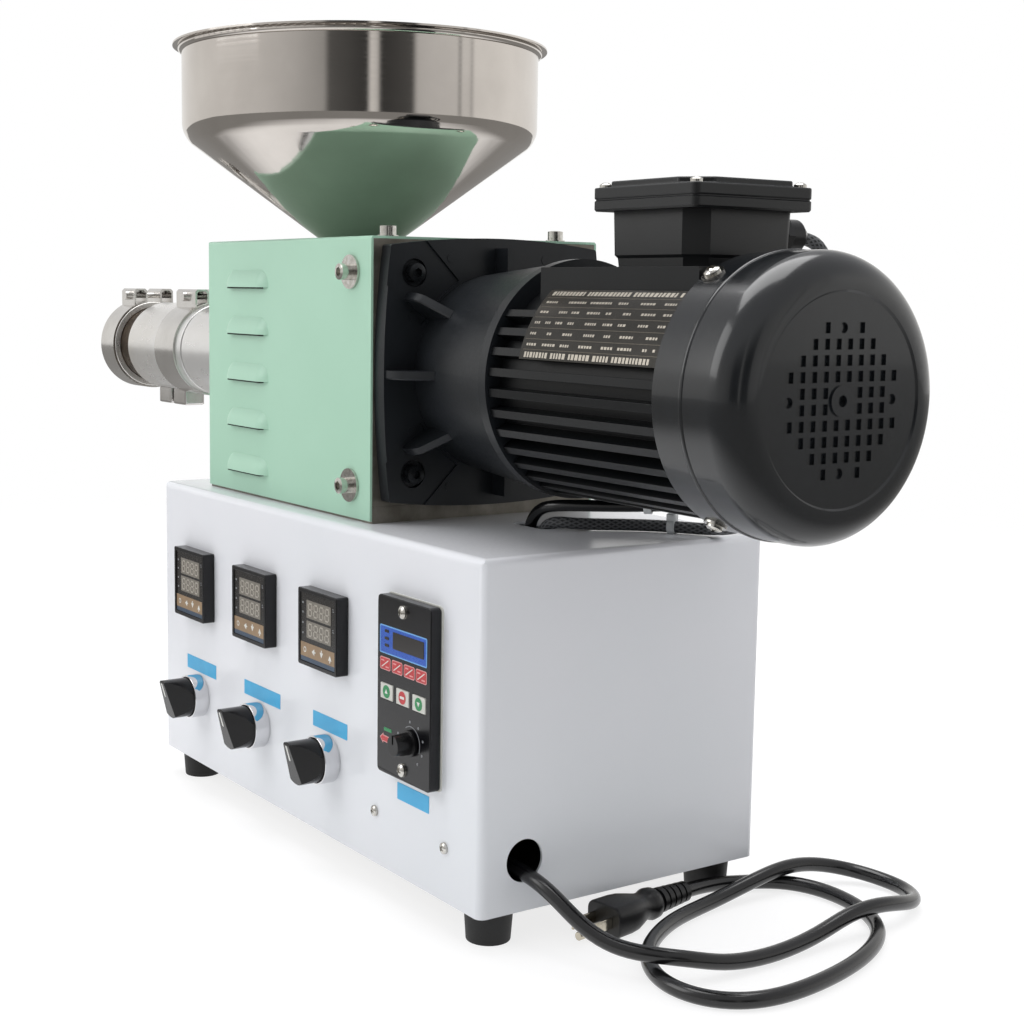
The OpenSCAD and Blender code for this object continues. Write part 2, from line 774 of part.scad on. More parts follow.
cowl_step = 1;
cowl_step_x = 36;
shoulder_r = 16;
disc_sink = 1;
boss_r = 7.5;
boss_hole_r = 2.8;
module cowl_profile(out) {
    // from the open end at x = 0 to the sunk disc at x = cowl_l - disc_sink, as [x, r]
    r = cowl_r - out;
    e = cowl_end_r;
    polygon(concat(
        [[0, 0], [0, r - cowl_step], [cowl_l - cowl_step_x - 1, r - cowl_step], [cowl_l - cowl_step_x, r]],
        [for (a = [0:7.5:90]) [cowl_l - out - shoulder_r + shoulder_r * sin(a), e + (r - e) * cos(a)]],
        [[cowl_l - out, e - 1], [cowl_l - out - disc_sink, e - 1 - disc_sink], [cowl_l - out - disc_sink, 0]]
    ));
}

function grille_row(i) = i == 0 || i == 9 ? [-1.5, 1.5]
    : i == 4 || i == 5 ? [-3.5, -2.5, -1.5, 1.5, 2.5, 3.5]
    : i == 1 || i == 8 ? [for (c = [-2.5:2.5]) c]
    : i == 2 || i == 7 ? [for (c = [-3.5:3.5]) c]
    : [for (c = [-4.5:4.5]) c];

module grille() {
    for (i = [0:9], c = grille_row(i))
        translate([(4.5 - i) * grille_pitch, c * grille_pitch]) square(grille_hole, center = true);
    for (s = [-1, 1]) {
        translate([s * 4.5 * grille_pitch, 0]) circle(grille_hole / 2, $fn = 16);
        translate([0, s * 4.5 * grille_pitch]) circle(grille_hole / 2, $fn = 16);
    }
    circle(boss_hole_r, $fn = 24);
}

module fan_cover() {
    color([0.12, 0.13, 0.14]) place() along_x(cowl_x0) difference() {
        union() {
            rotate_extrude($fn = 96) rotate(90) mirror([0, 1]) cowl_profile(0);
            translate([0, 0, cowl_l - disc_sink - 0.5]) cylinder(r = boss_r, h = disc_sink + 0.5);
        }
        translate([0, 0, -eps]) rotate_extrude($fn = 96) rotate(90) mirror([0, 1]) cowl_profile(cowl_t);
        translate([0, 0, cowl_l - cowl_t - 1]) linear_extrude(cowl_t + 2) grille();
    }
}

// Fan: hub, back plate and curved blades on the motor's shaft
fan_gap = 5;
fan_plate_t = 2;
blade_l = 26;
shaft_r = 7;
module cooling_fan() {
    x0 = bell_x + motor_l;
    color([0.2, 0.2, 0.21]) place() along_x(x0) {
        translate([0, 0, fit_gap]) cylinder(r = shaft_r, h = fan_gap + fan_plate_t + blade_l);
        translate([0, 0, fan_gap]) cylinder(r = 14, h = blade_l);
        translate([0, 0, fan_gap]) cylinder(r = fan_r - 14, h = fan_plate_t);
        for (i = [0:fan_blades - 1]) rotate(i * 360 / fan_blades)
            translate([10, -1, fan_gap]) cube([fan_r - 10, 2, blade_l]);
    }
}

// Terminal box on the ledge, its lid and glands, and the leads down to the cabinet
lip_h = 7;
lid_corner_r = 4;
crown_h = 3;
crown_corner = 13;
box_chamfer = 11;
base_h = 4;
base_inset = 2.5;
module chamfered_rect(w, h, c) {
    intersection() {
        square([w, h], center = true);
        rotate(45) square((w + h) / sqrt(2) - sqrt(2) * c, center = true);
    }
}

module terminal_box() {
    color([0.1, 0.1, 0.11]) place() translate([box_x, axis_y, ledge_z]) {
        linear_extrude(base_h, scale = box_l / (box_l - 2 * base_inset))
            chamfered_rect(box_l - 2 * base_inset, box_w - 2 * base_inset, box_chamfer);
        translate([0, 0, base_h]) linear_extrude(box_h - base_h) chamfered_rect(box_l, box_w, box_chamfer);
        translate([0, 0, box_h - lip_h]) linear_extrude(lip_h)
            rounded_rect(box_l + 2 * lid_over, box_w + 2 * lid_over, lid_corner_r);
    }
}

module terminal_box_lid() {
    l = box_l + 2 * lid_over;
    w = box_w + 2 * lid_over;
    color([0.1, 0.1, 0.11]) place() translate([box_x, axis_y, ledge_z + box_h]) {
        linear_extrude(lid_h - crown_h) rounded_rect(l, w, lid_corner_r);
        translate([0, 0, lid_h - crown_h - eps]) linear_extrude(crown_h + eps)
            chamfered_rect(l - crown_h, w - crown_h, crown_corner);
    }
}

gland_z = ledge_z + box_h - 18;
gland_r = 9;
gland_pitch = 36;
lead_r = 3.5;
lead_slot = [cover_x1 + 52, axis_y];
lead_slot_l = 34;
lead_slot_r = 6;
gland_nut_l = 5;
gland_l = 14;
gland_tip_l = 6;
gland_wall = 4;
module cable_glands() {
    color([0.1, 0.1, 0.1]) place() for (s = [-0.5, 0.5])
        translate([box_x + s * gland_pitch, axis_y + box_w / 2, gland_z]) rotate([-90, 0, 0]) difference() {
            union() {
                cylinder(r = gland_r + 2, h = gland_nut_l, $fn = 6);
                cylinder(r = gland_r, h = gland_l);
                translate([0, 0, gland_l]) cylinder(r1 = gland_r, r2 = lead_r + 1, h = gland_tip_l);
            }
            translate([0, 0, gland_wall]) cylinder(r = lead_r, h = gland_l + gland_tip_l);
        }
}

// Each lead leaves its gland, bends down behind the motor and ends in the slot
lead_bend = 16;
function lead_drop(x) =
    let (y0 = axis_y + box_w / 2 + gland_wall, y1 = y0 + gland_l + gland_tip_l, r = lead_bend) concat(
        [[x, y0, gland_z], [x, y1, gland_z]],
        [for (a = [15:15:90]) [x, y1 + r * sin(a), gland_z - r + r * cos(a)]],
        [[x, y1 + r, axis_z]]);
function from_slot(dx, dy, dz) = [lead_slot.x + dx, lead_slot.y + dy, cabinet_h + dz];
function from_box(dx, dy, dz) = [box_x + dx, axis_y + dy, cabinet_h + dz];
lead_lie = lead_r + 0.2;
upper_lead = concat(lead_drop(box_x - gland_pitch / 2), [
    from_box(-19, 75, 47), from_box(-29, 71, 28), from_slot(90, 54, 20), from_slot(64, 31, 18),
    from_slot(40, 10, 17), from_slot(22, -2, 15), from_slot(10, -3, 12), from_slot(1, -2, 5),
    from_slot(-5, -1, -5), from_slot(-6, 0, -18)]);
lower_lead = concat(lead_drop(box_x + gland_pitch / 2), [
    from_box(16, 75, 62), from_box(5, 75, 38), from_box(-15, 74, 18), from_box(-37, 71, 7),
    from_slot(90, 67, lead_lie), from_slot(76, 59, lead_lie), from_slot(57, 48, lead_lie),
    from_slot(44, 33, lead_lie), from_slot(34, 17, lead_lie), from_slot(26, 7, lead_lie + 0.3),
    from_slot(17, 2, lead_lie), from_slot(9, 0, 0), from_slot(7, 0, -9), from_slot(6, 0, -20)]);
module motor_leads() {
    color([0.08, 0.08, 0.08]) place() {
        sweep(upper_lead, lead_r, 10);
        sweep(lower_lead, lead_r, 10);
    }
}

// A tube of n sides swept along points
function unit(v) = v / norm(v);
function tangent(p, i) = unit(p[min(i + 1, len(p) - 1)] - p[max(i - 1, 0)]);
function side_of(t) = abs(t.z) > 0.9 ? unit(cross(t, [0, 1, 0])) : unit(cross(t, [0, 0, 1]));
function carried(p, i) = i == 0 ? side_of(tangent(p, 0))
    : let (s = carried(p, i - 1), t = tangent(p, i)) unit(s - (s * t) * t);

module sweep(p, r, n) {
    m = len(p);
    rings = [for (i = [0:m - 1]) let (t = tangent(p, i), s = carried(p, i), u = cross(t, s))
        [for (k = [0:n - 1]) p[i] + r * (cos(360 * k / n) * s + sin(360 * k / n) * u)]];
    pts = [for (ring = rings, q = ring) q];
    faces = concat(
        [[for (k = [0:n - 1]) k]],
        [for (i = [0:m - 2], k = [0:n - 1]) let (j = (k + 1) % n)
            [i * n + k, (i + 1) * n + k, (i + 1) * n + j, i * n + j]],
        [[for (k = [n - 1:-1:0]) (m - 1) * n + k]]);
    polyhedron(points = pts, faces = faces, convexity = 10);
}

// Power cord, from inside the cabinet to its plug on the floor. Heights are above the
// cabinet's underside, so the floor is at -foot_h.
lie = cord_dia / 2 + 0.2 - foot_h;
cord_route = [
    [-14, 29, 22], [4, 29, 22], [22, 32, 16.5], [40, 37, 4], [58, 45, -4], [75, 58, -5], [85, 76, -7.5], [89, 99, -14],
    [90, 133, lie], [87, 167, -13], [86, 191, -6], [87, 214, -5], [86, 235, -9], [79, 255, -14],
    [61, 268, lie], [39, 268, -15], [21, 255, -11.5], [14, 233, -6.5], [14, 210, -5], [14, 187, -9],
    [14, 155, lie], [21, 122, lie], [32, 99, lie], [46, 79, lie], [65, 63, lie], [88, 55, lie],
    [111, 60, lie], [126, 77, lie], [130, 100, lie], [128, 125, lie], [123, 151, lie], [114, 178, lie], [99, 203, lie],
    [78, 218, lie], [53, 225, lie], [29, 224, lie], [9, 213, lie], [0, 191, -15], [-2, 167, -12], [1, 146, -11]
];
cord_steps = 2;
function spline(p, i, t) = let (a = p[max(i - 1, 0)], b = p[i], c = p[i + 1], d = p[min(i + 2, len(p) - 1)])
    (pow(1 - t, 3) * a + (3 * t * t * t - 6 * t * t + 4) * b + (3 * (t + t * t - t * t * t) + 1) * c + t * t * t * d) / 6;
cord_path = concat(
    [cord_route[0]],
    [for (i = [0:len(cord_route) - 2], k = [0:cord_steps - 1]) spline(cord_route, i, k / cord_steps)],
    [cord_route[len(cord_route) - 1]]);

module power_cord() {
    color([0.08, 0.08, 0.08]) place() sweep(cord_path, cord_dia / 2, 8);
}

// Plug that lies flat, pointing away from the cord, with two blades and a round pin
plug_at = cord_route[len(cord_route) - 1];
cord_end = plug_at - cord_route[len(cord_route) - 2];
plug_angle = atan2(cord_end.y, cord_end.x);
blade_gap = 12.7;
plug_waist = 14;
plug_neck = 15;
module at_plug() {
    translate([plug_at.x, plug_at.y, plug_t / 2 - foot_h]) rotate([0, 0, plug_angle])
        translate([fit_gap, 0, 0]) rotate([0, 90, 0]) children();
}

module cord_plug() {
    color([0.08, 0.08, 0.08]) place() at_plug() {
        cylinder(r1 = cord_dia / 2 + 1, r2 = cord_dia / 2 + 3, h = relief_l);
        translate([0, 0, relief_l - eps]) cylinder(r1 = plug_neck / 2, r2 = plug_t / 2, h = plug_waist + 2 * eps);
        translate([0, 0, relief_l + plug_waist]) linear_extrude(plug_l - plug_waist)
            rounded_rect(plug_t, plug_w, 6);
    }
}

module plug_prongs() {
    z = relief_l + plug_l;
    color("silver") place() at_plug() {
        for (s = [-1, 1]) translate([-3.2, s * blade_gap / 2 - 0.8, z]) cube([6.3, 1.5, 18]);
        translate([4.5, 0, z]) cylinder(r = 2.4, h = 20);
    }
}

module controller_left() { controller(column_x[0]); }
module controller_middle() { controller(column_x[1]); }
module controller_right() { controller(column_x[2]); }
module ring_left() { selector_ring(column_x[0]); }
module ring_middle() { selector_ring(column_x[1]); }
module ring_right() { selector_ring(column_x[2]); }
module handle_left() { selector_handle(column_x[0]); }
module handle_middle() { selector_handle(column_x[1]); }
module handle_right() { selector_handle(column_x[2]); }
module heater_rear() { band_heater(heater_x3 - heater_rear_l, heater_rear_l); }
module heater_mid() { band_heater(heater_x2 - heater_mid_l, heater_mid_l); }
module heater_front() { band_heater(heater_x1 - heater_front_l, heater_front_l); }
module strap_mid() { strap(strap_mid_x, strap_mid_w); }
module strap_front() { strap(strap_front_x, strap_front_w); }

cabinet_shell();
cabinet_floor();
feet();
controller_left();
controller_middle();
controller_right();
ring_left();
ring_middle();
ring_right();
handle_left();
handle_middle();
handle_right();
speed_gasket();
speed_panel();
speed_keys();
speed_knob();
feed_cover();
base_plate();
motor_plate();
barrel_plate();
feed_block();
feed_screw();
hopper();
barrel();
nozzle();
heater_rear();
heater_mid();
heater_front();
strap_mid();
strap_front();
heater_terminals();
motor_flange();
motor_body();
fan_cover();
cooling_fan();
terminal_box();
terminal_box_lid();
cable_glands();
motor_leads();
power_cord();
cord_plug();
plug_prongs();
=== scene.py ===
# Desktop filament extruder: finishes, fasteners, panel prints, cord and leads around the packed
# model. Small parts are drawn in the machine's own millimetres: x is 0 at the cabinet's right end,
# y is 0 at its front and z is 0 at its underside.
import json
import math
import random

import bmesh
import bpy
from mathutils import Matrix, Vector


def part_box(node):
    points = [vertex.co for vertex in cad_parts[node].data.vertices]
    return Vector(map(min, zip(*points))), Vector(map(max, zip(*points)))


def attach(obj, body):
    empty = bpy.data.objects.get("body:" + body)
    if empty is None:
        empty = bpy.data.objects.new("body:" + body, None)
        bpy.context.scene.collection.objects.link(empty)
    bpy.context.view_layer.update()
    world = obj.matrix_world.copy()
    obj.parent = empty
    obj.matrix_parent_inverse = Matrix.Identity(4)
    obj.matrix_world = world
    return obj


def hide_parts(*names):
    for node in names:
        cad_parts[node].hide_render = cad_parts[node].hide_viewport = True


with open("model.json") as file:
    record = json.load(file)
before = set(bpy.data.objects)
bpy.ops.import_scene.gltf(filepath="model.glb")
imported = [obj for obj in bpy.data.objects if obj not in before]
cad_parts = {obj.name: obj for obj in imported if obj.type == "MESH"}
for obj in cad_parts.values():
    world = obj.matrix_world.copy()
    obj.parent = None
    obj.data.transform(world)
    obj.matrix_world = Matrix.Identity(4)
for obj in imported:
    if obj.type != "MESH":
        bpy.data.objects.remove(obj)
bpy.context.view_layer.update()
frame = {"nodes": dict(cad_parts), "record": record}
nodes = frame["nodes"]
scene = bpy.context.scene

MM = 0.001
SHELL_LOW, SHELL_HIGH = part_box("cabinet_shell")
X_AXIS, Y_AXIS, Z_AXIS = Vector((1, 0, 0)), Vector((0, 1, 0)), Vector((0, 0, 1))
MOTOR_AXIS = Vector((0, 100, 286))
SIDES = ("left", "middle", "right")
MACHINE = "machine"


def place(x, y, z):
    """A point of the machine, in millimetres, as a point of the model, in metres."""
    return Vector((SHELL_HIGH.x + x * MM, SHELL_LOW.y + y * MM, SHELL_LOW.z + z * MM))


def span(node):
    """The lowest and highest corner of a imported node, in the machine's millimetres."""
    return tuple((corner - place(0, 0, 0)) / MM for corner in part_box(node))


def seat(x, y, z, u, v):
    """The matrix from a drawing in millimetres, with axes u and v, to its place on the machine."""
    u, v = Vector(u).normalized(), Vector(v).normalized()
    matrix = Matrix((u, v, u.cross(v))).transposed().to_4x4()
    return Matrix.Translation(place(x, y, z)) @ matrix @ Matrix.Scale(MM, 4)


def on_front(x, z, y=0.0):
    return seat(x, y, z, X_AXIS, Z_AXIS)


WHOLE = seat(0, 0, 0, X_AXIS, Y_AXIS)


def away(angle):
    """The direction away from the motor's axis, at degrees above the front's horizontal."""
    angle = math.radians(angle)
    return Vector((0, -math.cos(angle), math.sin(angle)))


# Camera
CAMERA_AT = place(701.6, -485.7, 336.4)
YAW, PITCH, ROLL = math.radians(56.373), math.radians(-6.568), math.radians(0.667)
ahead = Vector((-math.sin(YAW) * math.cos(PITCH), math.cos(YAW) * math.cos(PITCH), math.sin(PITCH)))
level = Vector((math.cos(YAW), math.sin(YAW), 0))
above = level.cross(ahead)
right = math.cos(ROLL) * level + math.sin(ROLL) * above
up = math.cos(ROLL) * above - math.sin(ROLL) * level
camera_data = bpy.data.cameras.new("camera")
camera_data.lens = 58.14
camera_data.sensor_width = 36
camera_data.shift_x = 0.0561
camera_data.shift_y = -0.0313
camera = bpy.data.objects.new("camera", camera_data)
scene.collection.objects.link(camera)
camera.matrix_world = Matrix.Translation(CAMERA_AT) @ Matrix((right, up, -ahead)).transposed().to_4x4()
scene.camera = camera
scene.view_settings.view_transform = "Standard"


# Nodes and colours
def add(tree, kind, inputs=None, **settings):
    """A new node with its settings. An input is given a value, a socket, or a node whose first
    output it is linked to."""
    node = tree.nodes.new(kind)
    for name, value in settings.items():
        setattr(node, name, value)
    for name, value in (inputs or {}).items():
        if isinstance(value, bpy.types.Node):
            value = value.outputs[0]
        if isinstance(value, bpy.types.NodeSocket):
            tree.links.new(value, node.inputs[name])
        else:
            node.inputs[name].default_value = value
    return node


def colour(code):
    """An sRGB hex code as Blender's linear colour."""
    parts = [int(code[i : i + 2], 16) / 255 for i in (1, 3, 5)]
    return tuple(c / 12.92 if c <= 0.04045 else ((c + 0.055) / 1.055) ** 2.4 for c in parts) + (1.0,)


def finish(name, base, roughness, metallic=0.0, grain=1.0, depth=0.02, uneven=0.06, tone=None,
           stretch=(1, 1, 1), centre=None, rings=False, patch=25.0, **shader_values):
    """A solid finish: base colour with slow patches of another tone, a grain in millimetres that
    lifts the surface by depth, and roughness that varies by uneven. Rings run round a Z axis."""
    material = bpy.data.materials.new(name)
    material.use_nodes = True
    tree = material.node_tree
    shader = tree.nodes["Principled BSDF"]
    shader.inputs["Metallic"].default_value = metallic
    for key, value in shader_values.items():
        shader.inputs[key.replace("_", " ")].default_value = value
    where = add(tree, "ShaderNodeTexCoord").outputs["Object"]
    if centre is not None:
        where = add(tree, "ShaderNodeMapping", {"Vector": where, "Location": -Vector(centre)})
    if rings:
        parts = add(tree, "ShaderNodeSeparateXYZ", {0: where}).outputs
        flat = add(tree, "ShaderNodeCombineXYZ", {0: parts[0], 1: parts[1]})
        reach = add(tree, "ShaderNodeVectorMath", {0: flat}, operation="LENGTH").outputs["Value"]
        fine_at = add(tree, "ShaderNodeCombineXYZ", {0: reach, 2: parts[2]})
    else:
        fine_at = add(tree, "ShaderNodeMapping", {"Vector": where, "Scale": stretch})
    fine = add(tree, "ShaderNodeTexNoise", {"Vector": fine_at, "Scale": 1000 / grain, "Detail": 3.0,
                                            "Roughness": 0.55})
    if tone is None:
        shader.inputs["Base Color"].default_value = colour(base)
    else:
        slow = add(tree, "ShaderNodeTexNoise", {"Vector": where, "Scale": 1000 / patch, "Detail": 4.0})
        blend = add(tree, "ShaderNodeMapRange", {"Value": slow, "From Min": 0.35, "From Max": 0.7})
        mix = add(tree, "ShaderNodeMix", {0: blend, 6: colour(base), 7: colour(tone)}, data_type="RGBA")
        tree.links.new(mix.outputs[2], shader.inputs["Base Color"])
    rough = add(tree, "ShaderNodeMapRange", {"Value": fine, "From Min": 0.3, "From Max": 0.7,
                                             "To Min": max(roughness - uneven, 0.02),
                                             "To Max": roughness + uneven})
    tree.links.new(rough.outputs[0], shader.inputs["Roughness"])
    bump = add(tree, "ShaderNodeBump", {"Height": fine, "Distance": depth * MM, "Strength": 1.0})
    tree.links.new(bump.outputs[0], shader.inputs["Normal"])
    return material


def printed(name, base, tone=None, patch=8.0, roughness=0.30, metallic=0.0):
    """Ink, film or foil laid flat: even, with a grain too fine to feel."""
    return finish(name, base, roughness, metallic, grain=0.5, depth=0.002, tone=tone, patch=patch)


HOPPER_CENTRE = sum(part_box("hopper"), Vector()) / 2

# Polyester powder coat on steel: satin, with a slight orange peel about a millimetre across
WHITE_COAT = finish("white_powder_coat", "#E3E4E9", 0.22, grain=2.2, depth=0.004, uneven=0.02,
                    tone="#DEE1E6", patch=180)
MINT_COAT = finish("mint_powder_coat", "#A9D0BA", 0.34, grain=1.2, depth=0.014, uneven=0.05,
                   tone="#A4CCB5", patch=120)
# Austenitic stainless sheet, spun on a lathe and polished: fine rings, clear but soft reflections
SPUN_STEEL = finish("spun_stainless_steel", "#D2CCC6", 0.08, 1.0, grain=1.6, depth=0.003, uneven=0.03,
                    tone="#C4BEB8", centre=HOPPER_CENTRE, rings=True, patch=60)
# Stainless strip: rolled and polished, with a soft sheen
STRIP_STEEL = finish("stainless_strip", "#DEDCD9", 0.21, 1.0, grain=1.6, depth=0.004, uneven=0.03,
                     tone="#CFCCC8", stretch=(0.2, 1, 1), patch=35)
# Heater sheath: rolled stainless sheet round mica, a little wavy and stained by heat
HEATER_STEEL = finish("heater_sheath_steel", "#E4E3E2", 0.30, 0.8, grain=7, depth=0.05, uneven=0.04,
                      tone="#D9D6D1", stretch=(0.4, 1, 1), patch=55)
# Alloy steel of the barrel, darkened to brown by heat
BURNT_STEEL = finish("heat_browned_steel", "#5C4E41", 0.42, 0.9, grain=1.5, uneven=0.1, tone="#33291F",
                     patch=8)
# Zinc-plated steel plate: ground before plating, grey and satin
ZINC_PLATE = finish("zinc_plated_steel", "#86827A", 0.42, 0.85, grain=0.9, depth=0.015, uneven=0.08,
                    tone="#6C685F", stretch=(1, 1, 0.08), patch=14)
# Bright zinc on screws and washers
ZINC_SCREW = finish("bright_zinc", "#D2D0CB", 0.18, 1.0, grain=0.5, depth=0.006, tone="#B9B6AF", patch=3)
# Chromium plate on the selector rings: a near-perfect mirror
CHROME = finish("chromium_plate", "#DCDCDE", 0.05, 1.0, depth=0.001, uneven=0.02, tone="#D6D6D8")
# Machined brass of the nozzle
BRASS = finish("turned_brass", "#C9A15A", 0.25, 1.0, grain=0.6, depth=0.008, tone="#B38C48", patch=6)
# Black oxide on the flange bolts, oiled
BLACK_OXIDE = finish("black_oxide_steel", "#1B1D1F", 0.3, 0.6, grain=0.6, depth=0.01, tone="#24272A",
                     patch=3)
# Semi-gloss enamel sprayed over a rough iron casting
CAST_ENAMEL = finish("enamel_on_casting", "#1C1F23", 0.36, grain=1.8, depth=0.03, uneven=0.05,
                     tone="#171A1D", patch=30, Specular_IOR_Level=0.4)
# The same enamel on extruded aluminium, which is smoother
FIN_ENAMEL = finish("enamel_on_aluminium", "#101214", 0.36, grain=1.4, depth=0.012, uneven=0.05,
                    tone="#0D0F11", patch=30, Specular_IOR_Level=0.3)
# Glossy enamel on the pressed steel fan cover, with a soft orange peel
COWL_ENAMEL = finish("gloss_enamel_on_pressed_steel", "#101316", 0.22, grain=4, depth=0.003, uneven=0.02,
                     tone="#13161A", patch=40, Coat_Weight=0.35, Coat_Roughness=0.05)
# Moulded ABS of the terminal box, with a fine spark-eroded texture
BOX_ABS = finish("textured_abs", "#0F1113", 0.40, grain=0.5, tone="#121416")
# Controller and speed panel housings: smoother ABS
PANEL_ABS = finish("smooth_abs", "#0A0A0D", 0.24, grain=2, depth=0.001, uneven=0.02, tone="#0D0D11",
                   Specular_IOR_Level=0.4)
# Polished phenolic of the selector handles
GLOSS_BLACK = finish("polished_phenolic", "#09090B", 0.24, grain=3.0, depth=0.001, uneven=0.015,
                     tone="#0B0B0D", Specular_IOR_Level=0.35)
# Nylon of the fan, grey and matte
FAN_NYLON = finish("grey_nylon", "#77736C", 0.5, grain=0.8, tone="#8A857D", patch=12)
# Nitrile of the feet
FOOT_RUBBER = finish("nitrile_rubber", "#111112", 0.6, grain=0.7, tone="#161617")
# PVC sheath of the cord, extruded smooth and glossy, and the duller moulded PVC of its plug
CORD_PVC = finish("glossy_pvc", "#0B0B0D", 0.24, grain=4.0, depth=0.003, uneven=0.02, tone="#0E0E10",
                  Coat_Weight=0.3, Coat_Roughness=0.12)
PLUG_PVC = finish("moulded_pvc", "#0D0D0F", 0.36, grain=0.8, depth=0.012, tone="#111113")
# Nickel plate on the plug's brass prongs
NICKEL = finish("nickel_plate", "#CFC8B8", 0.16, 1.0, grain=0.8, depth=0.004, tone="#BDB5A4", patch=5)
# Clear nylon of the cable ties
CLEAR_NYLON = finish("natural_nylon", "#D9DCDD", 0.35, depth=0.006, tone="#CDD1D3", patch=4)
# Gasket and key caps
WHITE_SILICONE = finish("white_silicone", "#CFCFC9", 0.5, grain=0.8, depth=0.01, tone="#C4C4BD", patch=10)
# Painted shade: a dark strip where the shadow falls just inside a louvre's mouth
LOUVRE_PAINTED_SHADE = finish("painted_louvre_shade", "#1A231F", 0.8, depth=0.01, tone="#141B18", patch=10)
# Printed films and inks: thin, even and satin
SKY_LABEL = finish("sky_blue_label_film", "#3BA6D8", 0.38, grain=0.5, depth=0.004, tone="#44AEDD", patch=12)
CONTROLLER_FILM = printed("dark_brown_panel_film", "#1B1917", "#201D1B", roughness=0.24)
BLUE_PRINT = printed("blue_screen_print", "#2357B8", "#1F4FAB")
PALE_BLUE_PRINT = printed("pale_blue_screen_print", "#6FA9DE")
RED_PRINT = printed("red_screen_print", "#BF2E33", "#AE282D", 4)
PINK_PRINT = printed("pale_pink_screen_print", "#D99A9A", roughness=0.32)
GREEN_PRINT = printed("green_screen_print", "#18864C", "#147A44", 4)
WHITE_PRINT = printed("white_screen_print", "#D8D8D4", roughness=0.35)
GREY_PRINT = printed("grey_screen_print", "#84868A", roughness=0.35)
TAN_PRINT = printed("bronze_screen_print", "#92795C", "#876F54", 5, 0.34)
SLATE_PRINT = printed("slate_screen_print", "#34475C", "#2E4054", 6)
# Acrylic windows: a grey filter over unlit digits, and a near-black one
GREY_WINDOW = finish("grey_acrylic_window", "#7B766E", 0.22, grain=0.6, depth=0.002, tone="#746F67", patch=8)
DIGIT_FILM = printed("unlit_digit_segment", "#9E988E")
DARK_WINDOW = finish("dark_acrylic_window", "#23201F", 0.10, grain=0.6, depth=0.002)
# Etched foil of the nameplate: dark enamel with bare metal marks and worn rules
PLATE_FOIL = finish("etched_foil", "#26241F", 0.22, 0.4, grain=0.6, depth=0.004, tone="#2E2B26", patch=9)
FOIL_LINE = printed("bare_foil_line", "#B9B2A6", roughness=0.35, metallic=0.6)
FOIL_RULE = printed("worn_foil_rule", "#5D574D", roughness=0.4, metallic=0.5)


def braided(name, base, tone, strands, pitch):
    """A woven sleeve: strands that cross both ways, on a UV map that runs round it and along it."""
    material = finish(name, base, 0.48, grain=0.4, depth=0.01)
    tree = material.node_tree
    shader = tree.nodes["Principled BSDF"]
    wound = add(tree, "ShaderNodeSeparateXYZ", {0: add(tree, "ShaderNodeUVMap", uv_map="round_and_along")})
    round_it = add(tree, "ShaderNodeMath", {0: wound, 1: 2 * math.pi * strands}, operation="MULTIPLY")
    waves = []
    for way in (1, -1):
        per_metre = way * 2 * math.pi / (pitch * MM)
        turn = add(tree, "ShaderNodeMath", {0: wound.outputs[1], 1: per_metre, 2: round_it},
                   operation="MULTIPLY_ADD")
        waves.append(add(tree, "ShaderNodeMath", {0: turn}, operation="SINE"))
    height = add(tree, "ShaderNodeMath", {0: waves[0], 1: waves[1]}, operation="MAXIMUM")
    # Darker where the weave is low: painted shade in the gaps between the strands
    gap_shade = add(tree, "ShaderNodeMapRange", {"Value": height, "From Min": -0.2, "From Max": 0.9})
    mix = add(tree, "ShaderNodeMix", {0: gap_shade, 6: colour(tone), 7: colour(base)}, data_type="RGBA")
    tree.links.new(mix.outputs[2], shader.inputs["Base Color"])
    fine = shader.inputs["Normal"].links[0].from_socket
    bump = add(tree, "ShaderNodeBump", {"Height": height, "Distance": 0.25 * MM, "Strength": 0.8,
                                        "Normal": fine})
    tree.links.new(bump.outputs[0], shader.inputs["Normal"])
    return material


# Polyester sleeve round one of the motor's leads; its darker tone is painted shade in the gaps of the weave
BRAIDED_SLEEVE = braided("braided_polyester_sleeve", "#5A5C5F", "#1A1B1D", 9, 5.0)


# Shapes: each is a list of points in millimetres and a list of faces
def corners_round(half_wide, half_tall, r, steps):
    """Four round corners of a rectangle, anticlockwise from the upper right."""
    points = []
    for cx, cy, start in ((1, 1, 0), (-1, 1, 90), (-1, -1, 180), (1, -1, 270)):
        for i in range(steps + 1):
            a = math.radians(start + 90 * i / steps)
            points.append((cx * (half_wide - r) + r * math.cos(a), cy * (half_tall - r) + r * math.sin(a)))
    return points


def rounded(w, h, r, steps=6):
    """A rectangle's outline with round corners, anticlockwise round its middle."""
    return corners_round(w / 2, h / 2, r, steps)


def ring(r, steps=24):
    return [(r * math.cos(2 * math.pi * i / steps), r * math.sin(2 * math.pi * i / steps))
            for i in range(steps)]


def inset(outline, d):
    """The outline moved inwards by d."""
    result = []
    for i, p in enumerate(outline):
        a, b = Vector(outline[i - 1]), Vector(outline[(i + 1) % len(outline)])
        p = Vector(p)
        before, after = (p - a).normalized(), (b - p).normalized()
        n1, n2 = Vector((-before.y, before.x)), Vector((-after.y, after.x))
        n = n1 + n2
        if n.length < 1e-6:
            n = n1
        n.normalize()
        result.append(tuple(p + n * d / max(n.dot(n1), 0.3)))
    return result


def skin(rings):
    """A closed form over rings of points in space, which all have the same count."""
    n, points = len(rings[0]), [tuple(point) for one in rings for point in one]
    faces = [tuple(range(n - 1, -1, -1)), tuple(range(len(points) - n, len(points)))]
    for low in range(0, len(points) - n, n):
        for i in range(n):
            j = (i + 1) % n
            faces.append((low + i, low + j, low + n + j, low + n + i))
    return points, faces


def stack(outlines):
    """A closed form through flat outlines, each given with its height."""
    return skin([[(x, y, z) for x, y in outline] for outline, z in outlines])


